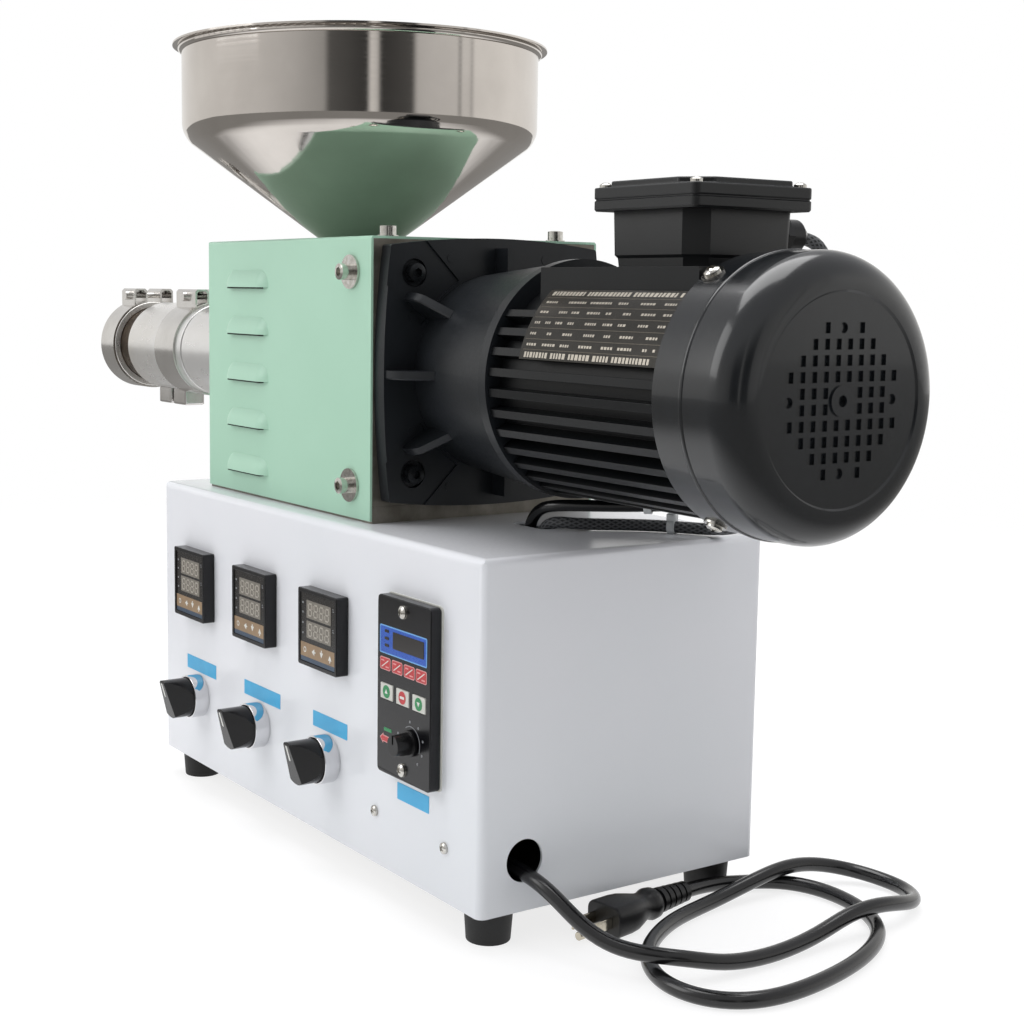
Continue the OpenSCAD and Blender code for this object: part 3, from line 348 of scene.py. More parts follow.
def slab(outline, depth, edge=0.0, low=0.0):
    """A plate of that outline from low to low + depth, with its upper edge broken by edge."""
    broken = [(inset(outline, edge), low + depth)] if edge > 0 else []
    return stack([(outline, low), (outline, low + depth - edge)] + broken)


def moved(shape, x=0.0, y=0.0, z=0.0, turn=0.0):
    """A shape turned by degrees round its third axis, then moved."""
    c, s = math.cos(math.radians(turn)), math.sin(math.radians(turn))
    return [(c * a - s * b + x, s * a + c * b + y, d + z) for a, b, d in shape[0]], shape[1]


def pad(x, y, wide, tall, corner, depth, edge=0.0, low=0.0):
    """A thin pad with round corners, its middle at x and y of the drawing."""
    return moved(slab(rounded(wide, tall, corner), depth, edge, low), x, y)


def lathe(profile, steps):
    """A ring round the drawing's third axis, from a closed row of (radius, height), so without the
    two end faces."""
    points, faces = stack([(ring(r, steps), z) for r, z in profile])
    return points, faces[2:]


def tube(path, radius, sides):
    """A tube round a path of vectors."""
    rings, side = [], None
    for i, p in enumerate(path):
        t = (path[min(i + 1, len(path) - 1)] - path[max(i - 1, 0)]).normalized()
        if side is None:
            side = t.orthogonal()
        side = (side - side.dot(t) * t).normalized()
        other = t.cross(side)
        turns = [2 * math.pi * k / sides for k in range(sides)]
        rings.append([p + radius * (math.cos(a) * side + math.sin(a) * other) for a in turns])
    return skin(rings)


def spline(points, steps=5):
    """A smooth line led by the points: a cubic B-spline that starts and ends on the outer two."""
    p = [Vector(q) for q in points]
    line = [p[0]]
    for i in range(len(p) - 1):
        a, b, c, d = p[max(i - 1, 0)], p[i], p[i + 1], p[min(i + 2, len(p) - 1)]
        for k in range(steps):
            t = k / steps
            line.append(((1 - t) ** 3 * a + (3 * t**3 - 6 * t * t + 4) * b
                         + (3 * (t + t * t - t**3) + 1) * c + t**3 * d) / 6)
    line.append(p[-1])
    return line


# Pieces
def linked(name, mesh, smooth):
    """A new object for a mesh, shaded smoothly up to that many degrees."""
    mesh.shade_smooth()
    mesh.set_sharp_from_angle(angle=math.radians(smooth))
    thing = bpy.data.objects.new(name, mesh)
    scene.collection.objects.link(thing)
    return thing


def settle(thing, body=MACHINE, replaces=()):
    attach(thing, body)
    if replaces:
        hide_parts(*replaces)
    return thing


def piece(name, parts, matrix, body=MACHINE, smooth=35.0, outward=False, replaces=()):
    """A piece from (shape, material) pairs, put in its place and set on its body."""
    mesh = bpy.data.meshes.new(name)
    points, faces, kinds, materials = [], [], [], []
    for shape, material in parts:
        if material not in materials:
            materials.append(material)
        first = len(points)
        points += shape[0]
        faces += [tuple(first + i for i in face) for face in shape[1]]
        kinds += [materials.index(material)] * len(shape[1])
    mesh.from_pydata(points, [], faces)
    for material in materials:
        mesh.materials.append(material)
    mesh.polygons.foreach_set("material_index", kinds)
    mesh.transform(matrix)
    if outward:
        work = bmesh.new()
        work.from_mesh(mesh)
        bmesh.ops.remove_doubles(work, verts=work.verts, dist=1e-7)
        bmesh.ops.recalc_face_normals(work, faces=work.faces)
        work.to_mesh(mesh)
        work.free()
    return settle(linked(name, mesh, smooth), body, replaces)


BODY_OF = {n: body for body, names in frame["record"]["behaviour"]["bodies"].items() for n in names}


def dressed(node, material, edge):
    """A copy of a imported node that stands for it: merged, smoothly shaded and with its edges broken."""
    mesh = nodes[node].data.copy()
    work = bmesh.new()
    work.from_mesh(mesh)
    bmesh.ops.remove_doubles(work, verts=work.verts, dist=2e-6)
    bmesh.ops.dissolve_degenerate(work, dist=1e-6, edges=work.edges)
    bmesh.ops.dissolve_limit(work, angle_limit=math.radians(0.4), verts=work.verts, edges=work.edges)
    work.to_mesh(mesh)
    work.free()
    for attribute in [a for a in mesh.attributes if a.name == "custom_normal"]:
        mesh.attributes.remove(attribute)
    mesh.materials.clear()
    mesh.materials.append(material)
    mesh.polygons.foreach_set("material_index", [0] * len(mesh.polygons))
    thing = linked(node + "_finished", mesh, 30)
    if edge > 0:
        bevel = thing.modifiers.new("broken edges", "BEVEL")
        bevel.width = edge * MM
        bevel.segments = 2
        bevel.limit_method = "ANGLE"
        bevel.angle_limit = math.radians(40)
        bevel.harden_normals = True
    weighted = thing.modifiers.new("flat faces stay flat", "WEIGHTED_NORMAL")
    weighted.keep_sharp = True
    return settle(thing, BODY_OF[node], (node,))


def corded(name, path, radius, material, replaces=(), sides=20):
    """A tube along a path in the machine's millimetres. Its UV map runs once round it and, in
    metres, along it. Returns the piece and its length in metres."""
    thing = piece(name, [(tube(path, radius, sides), material)], WHOLE, replaces=replaces)
    along = [0.0]
    for a, b in zip(path, path[1:]):
        along.append(along[-1] + (b - a).length * MM)
    layer = thing.data.uv_layers.new(name="round_and_along")
    # The two ends' faces come first
    loop = 2 * sides
    for k in range(len(path) - 1):
        for i in range(sides):
            for du, dk in ((0, 0), (1, 0), (1, 1), (0, 1)):
                layer.data[loop].uv = ((i + du) / sides, along[k + dk])
                loop += 1
    return thing, along[-1]


# Geometry Nodes: each tree makes one small form and puts it on the spots it is given
def new_tree(name, sizes):
    """A tree with spots and a finish to take, and named sizes. Returns it and what it is given."""
    tree = bpy.data.node_groups.new(name, "GeometryNodeTree")
    for label, kind in [("Spots", "Geometry"), ("Finish", "Material")] + [(size, "Float") for size in sizes]:
        tree.interface.new_socket(label, in_out="INPUT", socket_type="NodeSocket" + kind)
    tree.interface.new_socket("Pieces", in_out="OUTPUT", socket_type="NodeSocketGeometry")
    return tree, add(tree, "NodeGroupInput").outputs


def put_on_spots(tree, given, form):
    """The form on each spot: its third axis along facing, its first along heading, sized by size."""
    facing, heading, size = (
        add(tree, "GeometryNodeInputNamedAttribute", {"Name": label}, data_type="FLOAT_VECTOR")
        for label in ("facing", "heading", "size")
    )
    out = add(tree, "FunctionNodeAlignRotationToVector", {"Vector": facing}, axis="Z")
    turned = add(tree, "FunctionNodeAlignRotationToVector", {"Rotation": out, "Vector": heading},
                 axis="X", pivot_axis="Z")
    placed = add(tree, "GeometryNodeInstanceOnPoints",
                 {"Points": given["Spots"], "Instance": form, "Rotation": turned, "Scale": size})
    real = add(tree, "GeometryNodeRealizeInstances", {"Geometry": placed})
    done = add(tree, "GeometryNodeSetMaterial", {"Geometry": real, "Material": given["Finish"]})
    add(tree, "NodeGroupOutput", {"Pieces": done})
    return tree


def lifted(tree, geometry, height):
    raised = add(tree, "ShaderNodeCombineXYZ", {"Z": height})
    return add(tree, "GeometryNodeTransform", {"Geometry": geometry, "Translation": raised})


def fastener_tree(name, recess):
    """A screw's head on its washer: a cylinder under a slight crown, with a cross or hexagon recess.
    Each middle is a height above the surface."""
    tree, given = new_tree(name, (
        "Head radius", "Head height", "Head middle", "Crown ball radius", "Crown ball middle", "Top",
        "Recess width", "Recess slot", "Recess depth", "Washer radius", "Washer thickness", "Washer middle"))
    ball = add(tree, "GeometryNodeMeshUVSphere",
               {"Segments": 64, "Rings": 64, "Radius": given["Crown ball radius"]})
    barrel = add(tree, "GeometryNodeMeshCylinder",
                 {"Vertices": 40, "Radius": given["Head radius"], "Depth": given["Head height"]})
    washer = add(tree, "GeometryNodeMeshCylinder",
                 {"Vertices": 48, "Radius": given["Washer radius"], "Depth": given["Washer thickness"]})
    cutters = []
    if recess == "cross":
        for wide, tall in (("Recess width", "Recess slot"), ("Recess slot", "Recess width")):
            sides = {0: given[wide], 1: given[tall], 2: given["Recess depth"]}
            size = add(tree, "ShaderNodeCombineXYZ", sides)
            cutters.append(add(tree, "GeometryNodeMeshCube", {"Size": size}))
    else:
        half = add(tree, "ShaderNodeMath", {0: given["Recess width"], 1: 0.5}, operation="MULTIPLY")
        cutters.append(add(tree, "GeometryNodeMeshCylinder",
                           {"Vertices": 6, "Radius": half, "Depth": given["Recess depth"]}))
    head = add(tree, "GeometryNodeMeshBoolean", operation="INTERSECT", solver="EXACT")
    cut = add(tree, "GeometryNodeMeshBoolean", {"Mesh 1": head}, operation="DIFFERENCE", solver="EXACT")
    both = add(tree, "GeometryNodeJoinGeometry")
    for form, height, socket in (
        (ball, "Crown ball middle", head.inputs["Mesh 2"]), (barrel, "Head middle", head.inputs["Mesh 2"]),
        *((cutter, "Top", cut.inputs["Mesh 2"]) for cutter in cutters),
    ):
        tree.links.new(lifted(tree, form, given[height]).outputs[0], socket)
    for form in (cut, lifted(tree, washer, given["Washer middle"])):
        tree.links.new(form.outputs[0], both.inputs[0])
    return put_on_spots(tree, given, both)


def chip_tree(name, corners):
    """A flat chip one unit across: a square one with four corners, or a round one with many."""
    tree, given = new_tree(name, ("Thickness",))
    across = 0.5 if corners > 4 else math.sqrt(0.5)
    chip = add(tree, "GeometryNodeMeshCylinder",
               {"Vertices": corners, "Radius": across, "Depth": given["Thickness"]})
    if corners == 4:
        chip = add(tree, "GeometryNodeTransform", {"Geometry": chip, "Rotation": (0, 0, math.pi / 4)})
    middle = add(tree, "ShaderNodeMath", {0: given["Thickness"], 1: 0.5}, operation="MULTIPLY")
    return put_on_spots(tree, given, lifted(tree, chip, middle))


CROSS_SCREWS = fastener_tree("cross_screws", "cross")
SOCKET_SCREWS = fastener_tree("socket_screws", "hexagon")
SQUARE_CHIPS = chip_tree("square_chips", 4)
ROUND_CHIPS = chip_tree("round_chips", 28)


def repeated(name, tree, spots, sizes, material, matrix=WHOLE, smooth=35.0):
    """The tree's form on spots of a drawing, each (point, facing, heading, (length, width)), with
    sizes in millimetres. The result is a plain mesh on the machine's body."""
    mesh = bpy.data.meshes.new(name + "_spots")
    mesh.from_pydata([matrix @ Vector(spot[0]) for spot in spots], [], [])
    turn = matrix.to_3x3()
    spot_values = {
        "facing": [(turn @ Vector(spot[1])).normalized() for spot in spots],
        "heading": [(turn @ Vector(spot[2])).normalized() for spot in spots],
        "size": [(spot[3][0] * MM, spot[3][1] * MM, 1) for spot in spots],
    }
    for label, values in spot_values.items():
        attribute = mesh.attributes.new(label, "FLOAT_VECTOR", "POINT")
        attribute.data.foreach_set("vector", [c for value in values for c in value])
    carrier = bpy.data.objects.new(name + "_carrier", mesh)
    scene.collection.objects.link(carrier)
    modifier = carrier.modifiers.new(name, "NODES")
    modifier.node_group = tree
    sockets = {item.name: item.identifier for item in tree.interface.items_tree if item.in_out == "INPUT"}
    modifier[sockets["Finish"]] = material
    for label, value in sizes.items():
        modifier[sockets[label]] = value * MM
    made = bpy.data.meshes.new_from_object(carrier.evaluated_get(bpy.context.evaluated_depsgraph_get()))
    carrier.modifiers.remove(modifier)
    bpy.data.objects.remove(carrier)
    for label in spot_values:
        if label in made.attributes:
            made.attributes.remove(made.attributes[label])
    made.name = name
    return settle(linked(name, made, smooth))


def mark(x, y, height, length, width, heading=(1, 0, 0)):
    """A chip's spot that lies flat on a drawing."""
    return (x, y, height), (0, 0, 1), heading, (length, width)


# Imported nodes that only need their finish, most of them inside
for node, material in (("cabinet_floor", ZINC_PLATE), ("base_plate", ZINC_PLATE), ("feed_block", ZINC_PLATE),
                       ("feed_screw", STRIP_STEEL), ("speed_gasket", WHITE_SILICONE)):
    for material_slot in nodes[node].material_slots:
        material_slot.material = material

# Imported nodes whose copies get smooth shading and, in millimetres, broken edges
for names, material, edge in (
    (["cabinet_shell"], WHITE_COAT, 0), (["feet"], FOOT_RUBBER, 0.5),
    (["controller_" + side for side in SIDES], PANEL_ABS, 0.5),
    (["ring_" + side for side in SIDES], CHROME, 0.4),
    (["handle_" + side for side in SIDES], GLOSS_BLACK, 0.4),
    (["speed_panel"], PANEL_ABS, 0.6), (["speed_knob"], GLOSS_BLACK, 0.4),
    (["speed_keys"], WHITE_SILICONE, 0.3), (["feed_cover"], MINT_COAT, 0),
    (["motor_plate", "barrel_plate"], ZINC_PLATE, 0.4),
    (["hopper"], SPUN_STEEL, 0), (["barrel"], BURNT_STEEL, 0), (["nozzle"], BRASS, 0.3),
    (["heater_rear", "heater_mid", "heater_front"], HEATER_STEEL, 0.5),
    (["strap_mid", "strap_front", "heater_terminals"], STRIP_STEEL, 0),
    (["motor_flange"], CAST_ENAMEL, 1.5), (["motor_body"], FIN_ENAMEL, 0.4),
    (["fan_cover"], COWL_ENAMEL, 0), (["cooling_fan"], FAN_NYLON, 0.4),
    (["terminal_box_lid"], BOX_ABS, 0.8), (["cable_glands"], PANEL_ABS, 0.4), (["plug_prongs"], NICKEL, 0.3),
):
    for node in names:
        dressed(node, material, edge)


# Power cord: the route of part.scad, whose heights are above the cabinet's underside
CORD_WIDE = 8.6
FOOT_HIGH = 20
LIE = CORD_WIDE / 2 + 0.2 - FOOT_HIGH
CORD_ROUTE = (
    (-14, 29, 22), (4, 29, 22), (22, 32, 16.5), (40, 37, 4), (58, 45, -4), (75, 58, -5), (85, 76, -7.5),
    (89, 99, -14), (90, 133, LIE), (87, 167, -13), (86, 191, -6), (87, 214, -5), (86, 235, -9),
    (79, 255, -14), (61, 268, LIE), (39, 268, -15), (21, 255, -11.5), (14, 233, -6.5), (14, 210, -5),
    (14, 187, -9), (14, 155, LIE), (21, 122, LIE), (32, 99, LIE), (46, 79, LIE), (65, 63, LIE),
    (88, 55, LIE), (111, 60, LIE), (126, 77, LIE), (130, 100, LIE), (128, 125, LIE), (123, 151, LIE),
    (114, 178, LIE), (99, 203, LIE), (78, 218, LIE), (53, 225, LIE), (29, 224, LIE), (9, 213, LIE),
    (0, 191, -15), (-2, 167, -12), (1, 146, -11),
)
cord_line = spline(CORD_ROUTE)
power_cord, cord_length = corded("power_cord_sheath", cord_line, CORD_WIDE / 2, CORD_PVC, ("power_cord",), 24)

# Plug: a drawing whose third axis runs from the cord to the prongs, with its first axis upwards.
# Each section is a distance along it, a width, a height and the radius of its corners
last_step = Vector(CORD_ROUTE[-1]) - Vector(CORD_ROUTE[-2])
plug_way = Vector((last_step.x, last_step.y, 0)).normalized()
on_plug = seat(*(cord_line[-1] + 0.3 * plug_way), Z_AXIS, plug_way.cross(Z_AXIS))
PLUG_SECTIONS = (
    (0, 9.6, 9.6, 4.7), (27, 12.2, 12.2, 6), (28.2, 15.6, 16.4, 7.6), (29.4, 17.2, 18.6, 8.4),
    (33.5, 17.8, 19.4, 8.7), (35.2, 16.6, 18.4, 8.1), (37.5, 14.6, 16.8, 7.1), (41, 14.6, 17.6, 6.6),
    (46, 16.2, 21, 6.4), (51.5, 17.6, 24.3, 6), (57, 18, 25, 5.4), (68.4, 18, 25, 5), (69.4, 17.6, 24.6, 4.8),
    (70, 16.6, 23.6, 4.3),
)
plug_form = stack([(rounded(w, h, r, 8), at) for at, w, h, r in PLUG_SECTIONS])
cord_plug = piece("plug_body", [(plug_form, PLUG_PVC)], on_plug, smooth=50,
                  replaces=("cord_plug",))
PLUG_RIBS = [(at, 11.8 + 0.13 * at) for at in (1.6, 6.6, 11.6, 16.6, 21.6)]
plug_ribs = repeated("plug_relief_ribs", ROUND_CHIPS, [mark(0, 0, at, wide, wide) for at, wide in PLUG_RIBS],
                     {"Thickness": 3.4}, PLUG_PVC, on_plug, smooth=30)

# Motor leads: a smooth one and a sleeved one, from their glands to the slot in the cabinet
LEAD_WIDE = 7.0
SMOOTH_LEAD = (
    (31, 139, 366), (31, 152, 366), (31, 166, 364), (31, 174, 355), (31, 175, 338), (31, 175, 312),
    (31, 175, 286), (31, 175, 262), (30, 175, 243), (20, 171, 224), (-2, 154, 216), (-28, 131, 213),
    (-52, 110, 212), (-70, 98, 211), (-82, 97, 208), (-91, 98, 201), (-97, 99, 191), (-98, 100, 178),
)
SLEEVED_LEAD = (
    (67, 139, 366), (67, 152, 366), (67, 166, 364), (67, 174, 355), (67, 175, 338), (67, 175, 312),
    (67, 175, 286), (65, 175, 258), (54, 175, 234), (34, 174, 214), (12, 171, 203), (-2, 167, 200),
    (-16, 159, 199.8), (-35, 148, 199.8), (-48, 133, 199.8), (-58, 117, 199.8), (-66, 107, 200),
    (-75, 102, 200.5), (-83, 100, 196), (-85, 100, 187), (-86, 100, 176),
)
for name, route, material, lay, node in (
    ("smooth_motor_lead", SMOOTH_LEAD, CORD_PVC, "hanging", ("motor_leads",)),
    ("sleeved_motor_lead", SLEEVED_LEAD, BRAIDED_SLEEVE, "loose", ()),
):
    line = spline(route, 4)
    lead, lead_length = corded(name, line, LEAD_WIDE / 2, material, node)


def tied(name, at, way, tail):
    """A cable tie: a flat strap round a lead, its head on top and its cut end."""
    way = Vector(way).normalized()
    side = way.cross(Z_AXIS).normalized()
    reach = LEAD_WIDE / 2
    half, thick = 2.2, 1.1
    strap = lathe([(reach, -half), (reach + thick, -half), (reach + thick, half), (reach, half),
                   (reach, -half)], 28)
    head = pad(0, -reach - 1.8, 5.4, 4.6, 0.8, 5.6, 0.6, -2.8)
    end = pad(1.4, -reach - 3.6 - tail / 2, 1.2, tail, 0.5, 3.8, 0.2, -1.9)
    piece(name, [(form, CLEAR_NYLON) for form in (strap, head, end)], seat(*at, side, way.cross(side)),
          smooth=40)


tied("smooth_lead_tie", (-26, 133, 213.3), (26, 21, 1), 5)
tied("sleeved_lead_tie", (-27, 152.5, 199.9), (19, 11, 0), 4)

# Hopper: a small bend between its wall and its cone. Each ring of its mesh there goes from one
# radius and height to another, and the first two, outside, are bevelled
BENDS = ((121.5, 440.5, 121.5, 442.6), (119.3, 435.9, 117.4, 434.5), (120.3, 440.7, 120.3, 442.9),
         (118.3, 436.7, 116.4, 435.3))
NEAR = 0.3
underside = place(0, 0, 0).z
hopper = bpy.data.objects["hopper_finished"]
work = bmesh.new()
work.from_mesh(hopper.data)
outer = (set(), set())
for vertex in work.verts:
    flat = (vertex.co - HOPPER_CENTRE).to_2d()
    r, z = flat.length / MM, (vertex.co.z - underside) / MM
    for k, (r0, z0, r1, z1) in enumerate(BENDS):
        if abs(r - r0) < NEAR and abs(z - z0) < NEAR:
            flat = flat * (r1 / r)
            vertex.co = (HOPPER_CENTRE.x + flat.x, HOPPER_CENTRE.y + flat.y, underside + z1 * MM)
            if k < len(outer):
                outer[k].add(vertex)
            break
bends = [edge for edge in work.edges for ring_of in outer if ring_of.issuperset(edge.verts)]
bmesh.ops.bevel(work, geom=bends, offset=3.2 * MM, segments=4, profile=0.5, affect="EDGES")
work.to_mesh(hopper.data)
work.free()
hopper.data.shade_smooth()
hopper.data.set_sharp_from_angle(angle=math.radians(40))

# Louvres: painted shade, a thin dark strip under each lip where its mouth lies in shadow
LOUVRE_STEP = 31.1
# The strip is no part of the cover: it is painted shade for the shadow in the mouth
shade_strip = slab([(7, -0.95), (54, -0.95), (54, 0.1), (7, 0.1)], 3.6)
for side, x, y, way in (("front", -337, 16.0, 1), ("back", -276, 184.0, -1)):
    piece(f"louvre_painted_shade_{side}", [(moved(shade_strip, 0, i * LOUVRE_STEP), LOUVRE_PAINTED_SHADE) for i in range(5)],
          seat(x, y, 212, (way, 0, 0), Z_AXIS))

# Fan cover: a rolled bead round it
BEAD = [(70.8, -1.7), (71.7, -1.3), (72.1, -0.5), (72.1, 0.5), (71.7, 1.3), (70.8, 1.7), (70.8, -1.7)]
piece("fan_cover_bead", [(lathe(BEAD, 128), COWL_ENAMEL)],
      seat(117.5, MOTOR_AXIS.y, MOTOR_AXIS.z, Y_AXIS, Z_AXIS), smooth=60)

# Labels on the cabinet's front: bare films
for name, x0, x1, z0, z1 in (
    ("left_label", -371, -324, 65.7, 75.5), ("middle_label", -280, -228.5, 65.7, 75.5),
    ("right_label", -184.5, -142, 65.7, 75.5), ("speed_label", -84, -50.5, 45.5, 55.5),
):
    piece(name, [(pad(0, 0, x1 - x0, z1 - z0, 0.4, 0.25, 0.08), SKY_LABEL)],
          on_front((x0 + x1) / 2, (z0 + z1) / 2, -0.02))

# Temperature controllers: film, two windows of unlit digits, four keys' film and a bare strip
COLUMNS = [span("controller_" + side)[0].x + 24 for side in SIDES]
CONTROLLER_Z, FACE_Y = 129.5, -7.5
WINDOWS = ((1.4, 11.6, 30.2, 11.2), (1.4, -1.0, 30.2, 10.8))
KEY_ROW, KEY_HEIGHT = -14, 0.5
DIGITS, DIGIT_PITCH, DIGIT_WIDE, DIGIT_TALL, STROKE, SLANT = 4, 7.0, 4.4, 7.4, 0.95, 0.10
ON_WINDOW, ON_FILM = 0.58, 0.28
ARROW_HEAD = slab([(-2.0, -1.5), (2.0, -1.5), (0, 1.7)], 0.16)
ARROW_TAIL = slab([(-0.45, -2.9), (0.45, -2.9), (0.45, -1.3), (-0.45, -1.3)], 0.16)
for side, x in zip(SIDES, COLUMNS):
    face = on_front(x, CONTROLLER_Z, FACE_Y)
    parts = [(pad(0, 0, 42.6, 42.6, 0.6, 0.3, 0.08), CONTROLLER_FILM)]
    parts += [(pad(u, v, w, h, 0.5, 0.4, 0.08, 0.2), GREY_WINDOW) for u, v, w, h in WINDOWS]
    parts += [
        (pad(0, KEY_ROW, 42.4, 8.8, 0.3, 0.3, 0.06, 0.2), TAN_PRINT),
        (pad(0, -19.8, 42.4, 2.9, 0.3, 0.3, 0.06, 0.2), SLATE_PRINT),
        (moved(slab(ring(1.7), 0.16, 0, KEY_HEIGHT), -15.6, KEY_ROW), WHITE_PRINT),
        (moved(slab(ring(1.15, 20), 0.1, 0, 0.6), -15.6, KEY_ROW), TAN_PRINT),
    ]
    for at, turn in ((-5.2, 90), (5.2, 180), (15.6, 0)):
        for form in (ARROW_HEAD, ARROW_TAIL):
            parts.append((moved(form, at, KEY_ROW, KEY_HEIGHT, turn), WHITE_PRINT))
    piece(f"controller_{side}_face", parts, face, smooth=30)
    strokes, marks = [], []
    for u, v, w, h in WINDOWS:
        for k in range(DIGITS):
            centre = u + (k - (DIGITS - 1) / 2) * DIGIT_PITCH
            for row in (-1, 0, 1):
                y = row * DIGIT_TALL / 2
                strokes.append(mark(centre + SLANT * y, v + y, ON_WINDOW, DIGIT_WIDE - STROKE, STROKE))
            for cx in (-1, 1):
                for row in (-1, 1):
                    y = row * DIGIT_TALL / 4
                    strokes.append(mark(centre + cx * DIGIT_WIDE / 2 + SLANT * y, v + y, ON_WINDOW,
                                        DIGIT_TALL / 2 - STROKE, STROKE, (-SLANT, 1, 0)))
        marks += [mark(19.2, v + 3.4, ON_FILM, 1.5, 0.5), mark(18.9, v + 4.7, ON_FILM, 0.8, 0.8, (0, 1, 0))]
    marks += [mark(-18.6, v, ON_FILM, 1.5, 1.1) for v in (15, 9, 2.4, -4)]
    repeated(f"controller_{side}_segments", SQUARE_CHIPS, strokes, {"Thickness": 0.08}, DIGIT_FILM,
             face)
    repeated(f"controller_{side}_marks", SQUARE_CHIPS, marks, {"Thickness": 0.12}, GREY_PRINT,
             face)

# Speed panel: printed film with its window, lamps, labels, key symbols and the knob's scale
film = on_front(0, 0, -8.0)
parts = [
    (pad(-66.4, 139.3, 49.6, 16.4, 1.0, 0.14, 0.04), PALE_BLUE_PRINT),
    (pad(-66.4, 139.3, 48.2, 15.0, 0.7, 0.12, 0.04, 0.1), BLUE_PRINT),
    (pad(-60.6, 140.2, 32.5, 9.6, 0.4, 0.3, 0.06, 0.15), DARK_WINDOW),
]
parts += [(pad(-83.4, z, 4.6, 1.7, 0.8, 0.3, 0.08, 0.15), DARK_WINDOW) for z in (144.4, 140.2, 136.2)]
RED_ROW = 125.3
SLASH = slab([(-4.2, -0.3), (4.2, -0.3), (4.2, 0.3), (-4.2, 0.3)], 0.1, 0, 0.16)
for x in (-85.3, -72.5, -59.7, -47.3):
    parts += [
        (pad(x, RED_ROW, 11.2, 7.4, 1.3, 0.12, 0.03), PINK_PRINT),
        (pad(x, RED_ROW, 10.2, 6.4, 1.0, 0.12, 0.03, 0.08), RED_PRINT),
        (moved(SLASH, x, RED_ROW, turn=32), WHITE_PRINT),
        (pad(x - 2.4, RED_ROW + 1.7, 3.2, 0.8, 0.2, 0.1, 0, 0.16), PINK_PRINT),
        (pad(x + 2.3, RED_ROW - 1.8, 3.4, 0.8, 0.2, 0.1, 0, 0.16), PINK_PRINT),
    ]
ARROW = [(-9.0, 0), (-5.4, -3.0), (-5.4, -1.9), (8.6, -1.9), (8.6, 1.9), (-5.4, 1.9), (-5.4, 3.0)]
sweep = [math.radians(degrees) for degrees in range(-25, 126, 6)]
sweep_mark = [(9.6 * math.cos(a), 9.6 * math.sin(a)) for a in sweep]
sweep_mark += [(9.1 * math.cos(a), 9.1 * math.sin(a)) for a in reversed(sweep)]
parts += [
    (moved(slab(ARROW, 0.12), -81.6, 81.6, turn=-2), PINK_PRINT),
    (moved(slab(inset(ARROW, 0.5), 0.12, 0, 0.06), -81.6, 81.6, turn=-2), RED_PRINT),
    (pad(-82.2, 87.4, 8.4, 2.0, 0.6, 0.14, 0.03), GREEN_PRINT),
    (moved(slab(sweep_mark, 0.1), -57.5, 85.5), GREY_PRINT),
]
piece("speed_panel_prints", parts, film, smooth=30)
DOTS = ((-71, 88.2), (-58.5, 97.4), (-49.8, 95.7), (-45.2, 89.2), (-46.0, 80.9), (-50.4, 75.2))
repeated("speed_scale_dots", ROUND_CHIPS, [mark(x, z, 0, 1.5, 1.5) for x, z in DOTS], {"Thickness": 0.12},
         GREY_PRINT, film)
KEYS_Z = 109.5
UP_SIGN = slab([(-1.5, -1.1), (1.5, -1.1), (0, 1.5)], 0.1, 0, 0.1)
DOWN_SIGN = slab([(-1.5, 1.1), (0, -1.5), (1.5, 1.1)], 0.1, 0, 0.1)
BAR_SIGN = pad(0, 0, 4.4, 1.5, 0.3, 0.1, 0, 0.1)
KEYS = ((-83, GREEN_PRINT, UP_SIGN), (-66, RED_PRINT, BAR_SIGN), (-49, GREEN_PRINT, DOWN_SIGN))
key_film = slab(ring(3.7, 36), 0.12, 0.03)
parts = [(moved(key_film, x, KEYS_Z), material) for x, material, sign in KEYS]
parts += [(moved(sign, x, KEYS_Z), WHITE_PRINT) for x, material, sign in KEYS]
piece("speed_key_prints", parts, on_front(0, 0, -8.62), smooth=30)

# Terminal box: chamfered at two corners and round at the others, with a foot and a lip under its lid
BOX_LOW, BOX_HIGH = span("terminal_box")
BOX_MID, BOX_SIZE = (BOX_LOW + BOX_HIGH) / 2, BOX_HIGH - BOX_LOW


def box_outline(half, cut):
    """A square's outline with its right front and left back corners cut off, the others rounded."""
    points = corners_round(half, half, 4, 4)
    for first, x, y in ((5, -1, 1), (15, 1, -1)):
        for i in range(5):
            t = i / 4 if x < 0 else 1 - i / 4
            points[first + i] = (x * (half - cut * t), y * (half - cut * (1 - t)))
    return points


walls = stack([(box_outline(31, 9), 0), (box_outline(31.4, 9), 4.6), (box_outline(32.6, 10), 6.2),
               (box_outline(33.2, 10), BOX_SIZE.z - 6.4), (box_outline(32.2, 9.6), BOX_SIZE.z - 1)])
# Each ring of the lip: how much narrower than the box, its corners and how far below the top
LIP_RINGS = ((1.6, 3.4, 6.2), (0, 4, 5.2), (0, 4, 1.1), (1.4, 3.4, 0.5), (1.4, 3.4, 0))
lip = stack([(rounded(BOX_SIZE.x - less, BOX_SIZE.x - less, corner), BOX_SIZE.z - down)
             for less, corner, down in LIP_RINGS])
piece("terminal_box_body", [(walls, BOX_ABS), (lip, BOX_ABS)],
      seat(BOX_MID.x, BOX_MID.y, BOX_LOW.z, X_AXIS, Y_AXIS), smooth=28,
      replaces=("terminal_box",))

